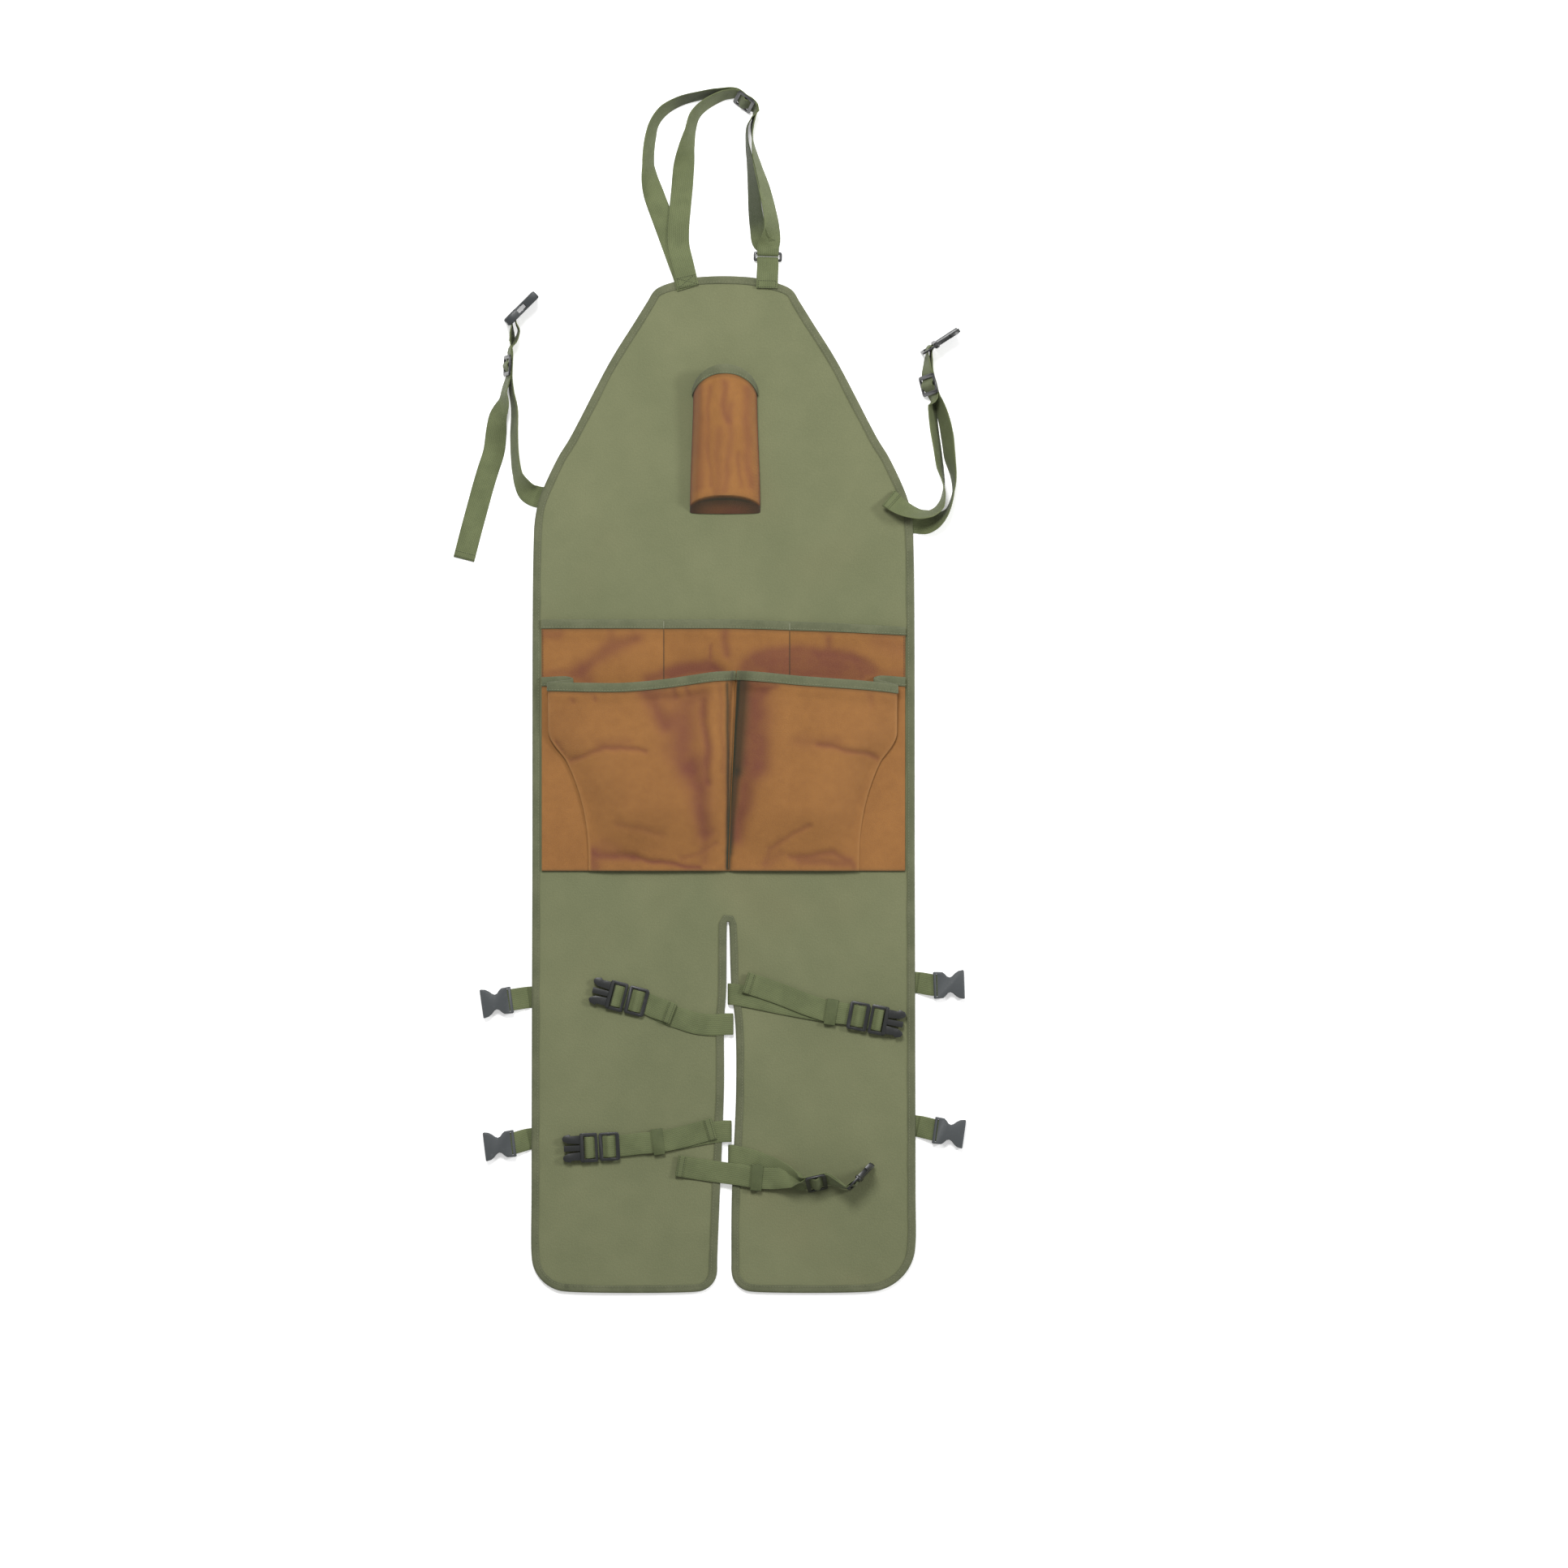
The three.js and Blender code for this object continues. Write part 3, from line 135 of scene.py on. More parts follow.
def outwards(loop):
    """The outward direction at each corner of a counterclockwise loop."""
    t = np.roll(loop, -1, axis=0) - np.roll(loop, 1, axis=0)
    t /= np.linalg.norm(t, axis=1)[:, None]
    return np.stack([t[:, 1], -t[:, 0]], axis=1)


def ripple(x, y):
    """How far the laid cloth stands off its flat place."""
    free = smooth(0.21, 0.32, y) + smooth(-0.12, -0.2, y)
    long_waves = np.sin(13 * x + 5 * y + 0.6) * np.sin(9 * y - 4 * x + 1.1)
    short_waves = np.sin(31 * x - 12 * y + 2.0) * np.sin(23 * y + 9 * x + 0.3)
    fine_waves = np.sin(71 * x + 38 * y) * np.sin(64 * y - 33 * x + 0.9)
    return free * (0.00055 + 0.00042 * long_waves + 0.00016 * short_waves + 0.00004 * fine_waves)


def inside(points, loop):
    """Which of the points lie inside a loop."""
    x, y = points[:, :1], points[:, 1:]
    x0, y0 = loop[:, 0], loop[:, 1]
    x1, y1 = np.roll(x0, -1), np.roll(y0, -1)
    spans = (y0 > y) != (y1 > y)
    with np.errstate(divide="ignore", invalid="ignore"):
        cross = x0 + (y - y0) / (y1 - y0) * (x1 - x0)
    return (spans & (x < cross)).sum(axis=1) % 2 == 1


def new_mesh(name, points, faces, uv, **values):
    """A smooth mesh with the cloth's own coordinates and a value of each kind at each point."""
    mesh = bpy.data.meshes.new(name)
    mesh.from_pydata([tuple(map(float, p)) for p in points], [], [tuple(map(int, f)) for f in faces])
    corner = np.empty(len(mesh.loops), np.int32)
    mesh.loops.foreach_get("vertex_index", corner)
    layer = mesh.uv_layers.new(name="cloth")
    layer.data.foreach_set("uv", np.asarray(uv, np.float32)[corner].ravel())
    for key, value in values.items():
        attribute = mesh.attributes.new(key, "FLOAT", "POINT")
        attribute.data.foreach_set("value", np.asarray(value, np.float32))
    mesh.shade_smooth()
    mesh.set_sharp_from_angle(angle=math.radians(50))
    return mesh


def placed(name, data):
    """A new object in the scene."""
    thing = bpy.data.objects.new(name, data)
    bpy.context.scene.collection.objects.link(thing)
    return thing


def piece(name, mesh, look, node):
    """A finished piece that rides with the apron and stands for its CAD node, if it has one."""
    thing = placed(name, mesh)
    mesh.materials.clear()
    mesh.materials.append(look)
    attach(thing, "root")
    if node:
        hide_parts(node)
    return thing


class Value:
    """A number on its way through a material's nodes, with the usual operators."""

    def __init__(self, tree, socket):
        self.tree = tree
        self.socket = socket

    def work(self, operation, *others, reflected=False):
        """What a math node makes of this number and others, which come first where it is reflected."""
        node = self.tree.nodes.new("ShaderNodeMath")
        node.operation = operation
        for k, value in enumerate((*others, self) if reflected else (self, *others)):
            if isinstance(value, Value):
                self.tree.links.new(value.socket, node.inputs[k])
            else:
                node.inputs[k].default_value = value
        return Value(self.tree, node.outputs[0])

    __add__ = __radd__ = partialmethod(work, "ADD")
    __mul__ = __rmul__ = partialmethod(work, "MULTIPLY")
    __sub__ = partialmethod(work, "SUBTRACT")
    __rsub__ = partialmethod(work, "SUBTRACT", reflected=True)
    __truediv__ = partialmethod(work, "DIVIDE")
    __rtruediv__ = partialmethod(work, "DIVIDE", reflected=True)
    __pow__ = partialmethod(work, "POWER")
    __rpow__ = partialmethod(work, "POWER", reflected=True)
    __abs__ = partialmethod(work, "ABSOLUTE")
    sine = partialmethod(work, "SINE")
    fraction = partialmethod(work, "FRACT")

    def between(self, low, high):
        """0 below low, 1 above high and smooth from one to the other."""
        node = self.tree.nodes.new("ShaderNodeMapRange")
        node.interpolation_type = "SMOOTHSTEP"
        self.tree.links.new(self.socket, node.inputs["Value"])
        node.inputs["From Min"].default_value = low
        node.inputs["From Max"].default_value = high
        return Value(self.tree, node.outputs[0])


class Finish:
    """A material with a node for each thing that its surface shows."""

    def __init__(self, name, **fixed):
        self.material = bpy.data.materials.new(name)
        self.material.use_nodes = True
        self.tree = self.material.node_tree
        self.shader = self.tree.nodes["Principled BSDF"]
        for key, value in fixed.items():
            self.shader.inputs[key.replace("_", " ").title().replace("Ior", "IOR")].default_value = value

    def node(self, kind, settings=None, **sockets):
        node = self.tree.nodes.new(kind)
        for key, value in (settings or {}).items():
            setattr(node, key, value)
        for key, value in sockets.items():
            self.put(node.inputs[key.replace("_", " ").title()], value)
        return node

    def put(self, socket, value):
        if isinstance(value, Value):
            self.tree.links.new(value.socket, socket)
        elif isinstance(value, bpy.types.NodeSocket):
            self.tree.links.new(value, socket)
        else:
            socket.default_value = value

    def place(self, uv=None):
        """Object coordinates, or those of a UV map, with their three numbers."""
        if uv:
            vector = self.node("ShaderNodeUVMap", {"uv_map": uv}).outputs["UV"]
        else:
            vector = self.node("ShaderNodeTexCoord").outputs["Object"]
        split = self.node("ShaderNodeSeparateXYZ", Vector=vector)
        return vector, [Value(self.tree, split.outputs[k]) for k in range(3)]

    def noise(self, vector, scale, detail):
        node = self.node("ShaderNodeTexNoise", Vector=vector, Scale=scale, Detail=detail, Roughness=0.55)
        return Value(self.tree, node.outputs["Fac"])

    def attribute(self, name):
        """A value that the mesh has at each point."""
        node = self.node("ShaderNodeAttribute", {"attribute_name": name})
        return Value(self.tree, node.outputs["Fac"])

    def mixed(self, first, second, share):
        """One colour that turns into another by a share."""
        node = self.node("ShaderNodeMix", {"data_type": "RGBA"})
        self.put(node.inputs[0], share)
        for socket, colour in ((node.inputs[6], first), (node.inputs[7], second)):
            self.put(socket, (*colour, 1) if isinstance(colour, tuple) else colour)
        return node.outputs[2]

    def wear(self, colour, roughness, height, depth):
        """The material, once its colour, roughness and raised weave or grain are joined up."""
        self.put(self.shader.inputs["Base Color"], colour)
        self.put(self.shader.inputs["Roughness"], roughness)
        bump = self.node("ShaderNodeBump", Height=height, Distance=depth, Strength=1.0)
        self.put(self.shader.inputs["Normal"], bump.outputs["Normal"])
        return self.material


def canvas_finish():
    """Plain weave of two slightly different olive yarns, worn lighter here and there."""
    finish = Finish("olive_canvas", sheen_weight=0.12, sheen_roughness=0.5, specular_ior_level=0.25)
    vector, (x, y, _) = finish.place()
    weave = (x * (math.tau / CANVAS_YARN)).sine() * (y * (math.tau / CANVAS_YARN)).sine()
    patches = finish.noise(vector, 7.0, 3.0).between(0.35, 0.68)
    cloudy = finish.noise(vector, 26.0, 4.0).between(0.3, 0.72)
    slubs = finish.noise(vector, 420.0, 2.0).between(0.35, 0.75)
    shade = patches * 0.45 + cloudy * 0.3 + slubs * 0.25
    colour = finish.mixed((0.146, 0.159, 0.081), (0.182, 0.192, 0.101), shade)
    yellowed = finish.noise(vector, 4.2, 2.0).between(0.5, 0.75) * 0.35
    colour = finish.mixed(colour, (0.19, 0.172, 0.088), yellowed)
    colour = finish.mixed(colour, (0.125, 0.138, 0.07), weave.between(-1.0, 0.2) * -0.25 + 0.25)
    return finish.wear(colour, 0.86 + 0.08 * slubs, weave * 0.5 + slubs * 0.5, 0.00025)


canvas_look = canvas_finish()
panel_edge = closed_through(rim("apron_panel", PANEL_BOTTOM), EDGE_STEP)


def walled(name, top, under, faces, uv, **values):
    """A closed skin over a sheet's two sides, from the faces of its top, with a wall along its border."""
    count = len(top)
    border = {}
    for face in faces:
        for a, b in zip(face, (*face[1:], face[0])):
            if border.pop((b, a), None) is None:
                border[(a, b)] = True
    skin = [*faces, *(tuple(count + k for k in reversed(face)) for face in faces)]
    skin += [(b, a, count + a, count + b) for a, b in border]
    values = {key: np.concatenate([value, value]) for key, value in values.items()}
    return new_mesh(name, np.concatenate([top, under]), skin, np.concatenate([uv, uv]), **values)


def canvas_panel():
    """The panel's two faces as even small triangles, with a wall between them all round."""
    low, high = panel_edge.min(axis=0), panel_edge.max(axis=0)
    rows = np.arange(low[1] + CLOTH_STEP / 2, high[1], CLOTH_STEP * 0.87)
    lattice = []
    for k, y in enumerate(rows):
        xs = np.arange(low[0] + CLOTH_STEP * (0.3 + 0.5 * (k % 2)), high[0], CLOTH_STEP)
        lattice.append(np.stack([xs, np.full(len(xs), y)], axis=1))
    lattice = np.concatenate(lattice)
    inner = lattice[inside(lattice, panel_edge - outwards(panel_edge) * 0.003)]
    flat = [Vector(p) for p in np.concatenate([panel_edge, inner])]
    border = list(range(len(panel_edge)))
    points, _, faces, *_ = delaunay_2d_cdt(flat, [], [border], 1, 1e-7)
    xy = np.array([p[:] for p in points])
    z = PANEL_TOP + ripple(xy[:, 0], xy[:, 1])
    top = np.column_stack([xy, z])
    under = np.column_stack([xy, z - CANVAS])
    return walled("canvas_panel", top, under, faces, xy)


panel_piece = piece("canvas_panel", canvas_panel(), canvas_look, "apron_panel")

# Edge binding
# Olive tape folded over the panel's raw edge all the way round, with one row of stitches through it.
TAPE_WALL = 0.001
TAPE_WIDTH = 0.009
GAP = 0.0003
TAPE_LIFT = GAP + TAPE_WALL
THREAD_LIFT = 0.0001


def tape_finish():
    """Twill tape with fine ribs along it."""
    finish = Finish("olive_tape", sheen_weight=0.08, sheen_roughness=0.5, specular_ior_level=0.3)
    _, (u, v, _) = finish.place("cloth")
    vector, _ = finish.place()
    twill = ((u * 0.7 + v) * (math.tau / 0.0013)).sine()
    ribs = (u * (math.tau / 0.0009)).sine()
    cloudy = finish.noise(vector, 34.0, 3.0).between(0.3, 0.7)
    slubs = finish.noise(vector, 500.0, 2.0).between(0.3, 0.75)
    colour = finish.mixed((0.09, 0.1, 0.053), (0.133, 0.141, 0.079), cloudy * 0.6 + slubs * 0.4)
    return finish.wear(colour, 0.8 + 0.1 * slubs, twill * 0.3 + ribs * 0.3 + slubs * 0.4, 0.0002)


tape_look = tape_finish()


def swept(name, rings, uv_across, uv_along, closed=False, **values):
    """A skin over rings of points, with caps where it is open and a value of each kind for each ring."""
    rings = np.asarray(rings)
    count, wide = rings.shape[:2]
    faces = []
    for i in range(count if closed else count - 1):
        a, b = i * wide, ((i + 1) % count) * wide
        for j in range(wide):
            k = (j + 1) % wide
            faces.append((a + j, a + k, b + k, b + j))
    if not closed:
        faces.append(tuple(range(wide - 1, -1, -1)))
        faces.append(tuple((count - 1) * wide + j for j in range(wide)))
    uv = np.stack(np.meshgrid(uv_across, uv_along), axis=-1).reshape(-1, 2)
    values = {key: np.repeat(value, wide) for key, value in values.items()}
    mesh = new_mesh(name, rings.reshape(-1, 3), faces, uv, **values)
    shell = bmesh.new()
    shell.from_mesh(mesh)
    bmesh.ops.recalc_face_normals(shell, faces=shell.faces)
    shell.to_mesh(mesh)
    shell.free()
    return mesh


panel_lift = ripple(panel_edge[:, 0], panel_edge[:, 1])
binding_outer = panel_edge + outwards(panel_edge) * TAPE_LIFT
binding_away = outwards(binding_outer)


def edge_binding():
    """The tape's section, taken round the panel, with an uneven inner edge and a pucker at each stitch."""
    low, high = PANEL_BOTTOM - TAPE_LIFT, PANEL_TOP + TAPE_LIFT
    section = [
        (TAPE_WIDTH, low + 0.0002), (TAPE_WIDTH * 0.8, low), (TAPE_WIDTH * 0.25, low),
        (0.0006, low + 0.0006), (0.0, low + 0.0016), (0.0, high - 0.0016), (0.0006, high - 0.0005),
        (0.0025, high + 0.0001), (TAPE_WIDTH * 0.5, high + 0.0001), (TAPE_WIDTH * 0.7, high - 0.0001),
        (TAPE_WIDTH * 0.92, high), (TAPE_WIDTH, high - 0.0003), (TAPE_WIDTH, high - TAPE_WALL),
        (TAPE_WALL, high - TAPE_WALL), (TAPE_WALL, low + TAPE_WALL), (TAPE_WIDTH, low + TAPE_WALL),
    ]
    run = np.arange(len(binding_outer)) * EDGE_STEP
    wander = 0.00035 * np.sin(run / 0.011) * np.sin(run / 0.047 + 0.8)
    rings = []
    for inward, z in section:
        drift = wander * (inward / TAPE_WIDTH) * (z > PANEL_TOP)
        xy = binding_outer - binding_away * (inward + drift)[:, None]
        pucker = 0.00012 * np.sin(run / 0.0021) * (0.2 < inward / TAPE_WIDTH < 0.85) * (z > PANEL_TOP)
        rings.append(np.column_stack([xy, z + panel_lift + pucker]))
    return swept("edge_binding", np.stack(rings, axis=1), run_along(section), run, closed=True)


piece("edge_binding_tape", edge_binding(), tape_look, "edge_binding")


def thread_finish(name, colour):
    """Twisted sewing thread with a little fuzz."""
    finish = Finish(name, specular_ior_level=0.4)
    vector, _ = finish.place()
    fuzz = finish.noise(vector, 1800.0, 2.0)
    dark = tuple(c * 0.7 for c in colour)
    return finish.wear(finish.mixed(dark, colour, fuzz.between(0.3, 0.7)), 0.6 + 0.2 * fuzz, fuzz, 0.0001)


olive_thread = thread_finish("olive_thread", (0.2, 0.21, 0.12))


def stitch_tree():
    """Stitches a pitch apart along each path of the mesh it is put on."""
    tree = bpy.data.node_groups.new("stitch_row", "GeometryNodeTree")
    given = {}
    for key, kind in (("Geometry", "Geometry"), ("Pitch", "Float"), ("Length", "Float"),
                      ("Thickness", "Float"), ("Thread", "Material")):
        given[key] = tree.interface.new_socket(key, in_out="INPUT", socket_type="NodeSocket" + kind)
    tree.interface.new_socket("Geometry", in_out="OUTPUT", socket_type="NodeSocketGeometry")
    nodes = {key: tree.nodes.new(kind) for key, kind in (
        ("given", "NodeGroupInput"), ("curve", "GeometryNodeMeshToCurve"),
        ("spots", "GeometryNodeCurveToPoints"), ("ball", "GeometryNodeMeshUVSphere"),
        ("size", "ShaderNodeCombineXYZ"), ("shape", "GeometryNodeTransform"),
        ("turn", "FunctionNodeAlignRotationToVector"), ("put", "GeometryNodeInstanceOnPoints"),
        ("real", "GeometryNodeRealizeInstances"), ("dye", "GeometryNodeSetMaterial"),
        ("result", "NodeGroupOutput"))}
    nodes["spots"].mode = "LENGTH"
    nodes["turn"].axis = "Z"
    for key, value in (("Segments", 6), ("Rings", 4), ("Radius", 0.5)):
        nodes["ball"].inputs[key].default_value = value
    for link in (
        "given.Geometry curve.Mesh", "curve.Curve spots.Curve", "given.Pitch spots.Length",
        "given.Thickness size.X", "given.Thickness size.Y", "given.Length size.Z",
        "ball.Mesh shape.Geometry", "size.Vector shape.Scale", "shape.Geometry put.Instance",
        "spots.Points put.Points", "spots.Tangent turn.Vector", "turn.Rotation put.Rotation",
        "put.Instances real.Geometry", "real.Geometry dye.Geometry", "given.Thread dye.Material",
        "dye.Geometry result.Geometry",
    ):
        (source, output), (target, into) = (end.split(".") for end in link.split())
        tree.links.new(nodes[source].outputs[output], nodes[target].inputs[into])
    return tree, {key: socket.identifier for key, socket in given.items()}


stitch_nodes, stitch_inputs = stitch_tree()


def as_mesh(name, thing):
    """The mesh that an object's modifiers make, in place of the object."""
    bpy.context.view_layer.update()
    graph = bpy.context.evaluated_depsgraph_get()
    done = bpy.data.meshes.new_from_object(thing.evaluated_get(graph))
    done.name = name
    bpy.data.objects.remove(thing)
    done.shade_smooth()
    return done


def stitched(name, paths, thread, pitch=0.0034, length=0.0027, thickness=0.0007):
    """Rows of stitches along paths, each a list of points."""
    points, edges = [], []
    for path in paths:
        start = len(points)
        points.extend(tuple(map(float, p)) for p in path)
        edges.extend((start + k, start + k + 1) for k in range(len(path) - 1))
    mesh = bpy.data.meshes.new(name + "_path")
    mesh.from_pydata(points, edges, [])
    row = placed(name + "_path", mesh)
    modifier = row.modifiers.new("stitches", "NODES")
    modifier.node_group = stitch_nodes
    for key, value in (("Pitch", pitch), ("Length", length), ("Thickness", thickness), ("Thread", thread)):
        modifier[stitch_inputs[key]] = value
    return piece(name, as_mesh(name, row), thread, None)


inner_row = binding_outer - binding_away * (TAPE_WIDTH * 0.78)
binding_row = np.column_stack([inner_row, PANEL_TOP + TAPE_LIFT + panel_lift + THREAD_LIFT])
closed_row = np.concatenate([binding_row, binding_row[:1]])
stitched("binding_stitches", [closed_row], olive_thread)

# Rear pocket row
# One wide piece of tan twill across the apron, hemmed with tape along its top and sewn down at both
# sides, along two seams and along its foot, which leaves three flat compartments.
POCKET_CLOTH = 0.0012
APRON_HALF = 0.2235
REAR_TOP = 0.1898
REAR_LENGTH = 0.291
REAR_PUFF = 0.0065
REAR_SEAMS = (-0.0695, 0.077)
REAR_HALF = 0.988 * APRON_HALF - TAPE_WIDTH - GAP
REAR_BOUNDS = (-REAR_HALF, *REAR_SEAMS, REAR_HALF)
REAR_FOOT = REAR_TOP - REAR_LENGTH
REAR_STEP = 0.0026
SEAM_SHADE = 0.0016


def field(x, y, strokes, stray=1.0):
    """How strongly soft strokes cover each place. A stroke is its points, its half width and strength."""
    x = x + stray * (0.0011 * np.sin(120 * y + 40 * x) + 0.0003 * np.sin(310 * y - 190 * x + 1))
    y = y + stray * (0.0009 * np.sin(140 * x - 60 * y + 2) + 0.0003 * np.sin(330 * x + 160 * y))
    clear = np.ones(np.shape(x))
    for points, half, strength in strokes:
        nearest = np.full(np.shape(x), 9.0)
        for (x0, y0), (x1, y1) in zip(points, points[1:]):
            dx, dy = x1 - x0, y1 - y0
            t = np.clip(((x - x0) * dx + (y - y0) * dy) / (dx * dx + dy * dy), 0, 1)
            nearest = np.minimum(nearest, np.hypot(x - x0 - t * dx, y - y0 - t * dy))
        clear = clear * (1 - strength * np.exp(-(nearest / (1.15 * half)) ** 2))
    return 1 - clear


def beside(distance, width=SEAM_SHADE):
    """A soft line: 1 where the distance is 0, and next to nothing beyond twice the width."""
    return np.exp(-(distance / width) ** 2)


def compartment(x):
    """How far the row bulges between its seams, from 0 to 1."""
    bulge = np.zeros(np.shape(x))
    for low, high in zip(REAR_BOUNDS, REAR_BOUNDS[1:]):
        within = (x >= low) & (x <= high)
        share = np.clip((x - low) / (high - low), 0, 1)
        bulge = np.where(within, np.sin(np.pi * share) ** 0.8, bulge)
    return bulge


def tape_room(below):
    """What the cloth stands off at a mouth, where the tape's back half lies behind it."""
    return TAPE_LIFT * (1 - smooth(1.3 * TAPE_WIDTH, 2.8 * TAPE_WIDTH, below))


def rear_middle(x, y):
    """The height of the middle of the row's cloth."""
    below = REAR_TOP - y
    share = below / REAR_LENGTH
    depth = (1 - 0.7 * smooth(0.1, 0.35, share)) * (1 - smooth(0.6, 1, share))
    return PANEL_TOP + GAP + POCKET_CLOTH / 2 + tape_room(below) + REAR_PUFF * compartment(x) * depth


def cloth(name, grid, thickness, **values):
    """A closed sheet of cloth with an even wall, from rows of points on its middle."""
    rows, columns = grid.shape[:2]
    across, down = np.gradient(grid, axis=1), np.gradient(grid, axis=0)
    normal = np.cross(down, across)
    normal /= np.maximum(np.linalg.norm(normal, axis=2), 1e-12)[..., None]
    top, under = ((grid + normal * side * thickness / 2).reshape(-1, 3) for side in (1, -1))
    a = (np.arange(rows - 1)[:, None] * columns + np.arange(columns - 1)).ravel()
    faces = np.stack([a, a + columns, a + columns + 1, a + 1], axis=1).tolist()
    steps_u = np.linalg.norm(np.diff(grid, axis=1), axis=2)
    steps_v = np.linalg.norm(np.diff(grid, axis=0), axis=2)
    u = np.concatenate([np.zeros((rows, 1)), np.cumsum(steps_u, axis=1)], axis=1)
    v = np.concatenate([np.zeros((1, columns)), np.cumsum(steps_v, axis=0)], axis=0)
    uv = np.stack([u.ravel(), v.ravel()], axis=1)
    values = {key: np.broadcast_to(value, (rows, columns)).ravel() for key, value in values.items()}
    return walled(name, top, under, faces, uv, **values), normal


def mouth_tape(name, edge, foot, edge_normal, foot_normal):
    """Tape folded over the top of a pocket, from points and normals along its mouth."""
    inner = POCKET_CLOTH / 2 + GAP
    outer = POCKET_CLOTH / 2 + TAPE_LIFT
    section = [
        (TAPE_WIDTH, outer - 0.0002), (TAPE_WIDTH * 0.93, outer), (0.002, outer), (0.0, outer - 0.0002),
        (-0.0011, 0.6 * outer), (-0.0013, 0.0), (-0.0011, -0.6 * outer), (0.0, -outer),
        (TAPE_WIDTH, -outer), (TAPE_WIDTH, -inner), (-GAP, -inner), (-GAP, inner), (TAPE_WIDTH, inner),
    ]
    away = edge - foot
    away /= np.linalg.norm(away, axis=1)[:, None]
    rings = []
    for depth, off in section:
        share = max(depth, 0) / TAPE_WIDTH
        middle = edge + (foot - edge) * share - away * min(depth, 0)
        rings.append(middle + (edge_normal * (1 - share) + foot_normal * share) * off)
    return swept(name, np.stack(rings, axis=1), run_along(section), run_along(edge))


def pocket_finish():
    """Tan twill with painted shade, dull red in its folds and near black in recesses, with dark seam lines
    and a paler line along each pleat's bend.
    """
    finish = Finish("tan_twill", sheen_weight=0.06, sheen_roughness=0.4, specular_ior_level=0.3)
    vector, _ = finish.place()
    _, (u, v, _) = finish.place("cloth")
    twill = ((u + v) * (math.tau / 0.0012)).sine()
    yarn = ((u - v) * (math.tau / 0.0007)).sine()
    cloudy = finish.noise(vector, 14.0, 4.0).between(0.3, 0.7)
    mottled = finish.noise(vector, 90.0, 3.0).between(0.3, 0.72)
    slubs = finish.noise(vector, 520.0, 2.0).between(0.3, 0.75)
    shade = cloudy * 0.5 + mottled * 0.3 + slubs * 0.2
    colour = finish.mixed((0.25, 0.109, 0.031), (0.318, 0.143, 0.04), shade)
    uneven = finish.noise(vector, 45.0, 4.0).between(0.25, 0.6)
    # Painted shade: the folds turn dull red, unevenly.
    colour = finish.mixed(colour, (0.168, 0.054, 0.032), finish.attribute("fold") * (0.68 + 0.32 * uneven))
    # A paler line along each pleat's bend.
    colour = finish.mixed(colour, (0.42, 0.225, 0.085), finish.attribute("rubbed"))
    # Painted shade, near black, in recesses and just under tapes, plus dark lines along the seams.
    colour = finish.mixed(colour, (0.03, 0.034, 0.02), finish.attribute("deep"))
    return finish.wear(colour, 0.72 + 0.14 * slubs, twill * 0.45 + yarn * 0.2 + slubs * 0.35, 0.00022)


twill_look = pocket_finish()

# Each stroke is its points, its half width, and a strength for how far it dents and how much shade is
# painted into it
REAR_FOLDS = [
    ([(-0.1025, 0.169), (-0.1271, 0.1596), (-0.1479, 0.1463), (-0.1677, 0.1303)], 0.0076, 0.6),
    ([(-0.1659, 0.1322), (-0.1583, 0.1208)], 0.0095, 0.6),
    ([(-0.2122, 0.1265), (-0.1904, 0.1284), (-0.1772, 0.1284)], 0.0047, 0.45),
    ([(-0.2093, 0.1747), (-0.1904, 0.1747)], 0.0057, 0.4),
    ([(-0.1318, 0.1756), (-0.1309, 0.168)], 0.0047, 0.25),
    ([(-0.0884, 0.1227), (-0.0657, 0.1293), (-0.043, 0.1369), (-0.0194, 0.1397),
      (-0.0033, 0.1293)], 0.0057, 0.75),
    ([(-0.0619, 0.1246), (-0.0392, 0.1322), (-0.0109, 0.1322)], 0.0057, 0.85),
    ([(-0.0146, 0.1624), (-0.0165, 0.1454)], 0.0019, 0.55),
    ([(0.0024, 0.1747), (0.0033, 0.1511)], 0.0047, 0.65),
    ([(0.0279, 0.1407), (0.0411, 0.1482), (0.0581, 0.1539), (0.077, 0.1558),
      (0.1035, 0.1529)], 0.0066, 0.7),
    ([(0.1035, 0.152), (0.1309, 0.1492), (0.1479, 0.1482), (0.1621, 0.1397),
      (0.1725, 0.1303)], 0.0066, 0.85),
    ([(0.0269, 0.1322), (0.0506, 0.1416), (0.0884, 0.1435), (0.1309, 0.1378),
      (0.1611, 0.1303)], 0.0095, 0.85),
    ([(0.0553, 0.1303), (0.1025, 0.1284), (0.1592, 0.1237)], 0.0076, 0.8),
    ([(0.1224, 0.1699), (0.1205, 0.1567)], 0.0043, 0.5),
    ([(0.1781, 0.1293), (0.2084, 0.1284)], 0.0047, 0.3),
    ([(0.1829, 0.1662), (0.2084, 0.1567)], 0.0113, 0.25),
]


def mouth_sag(x, y):
    """How far the row's right half hangs below a straight mouth."""
    share = np.clip((REAR_TOP - y) / REAR_LENGTH, 0, 1)
    return 0.0088 * np.clip((x - 0.0014) / 0.213, 0, 1) ** 1.4 * (1 - share) ** 3


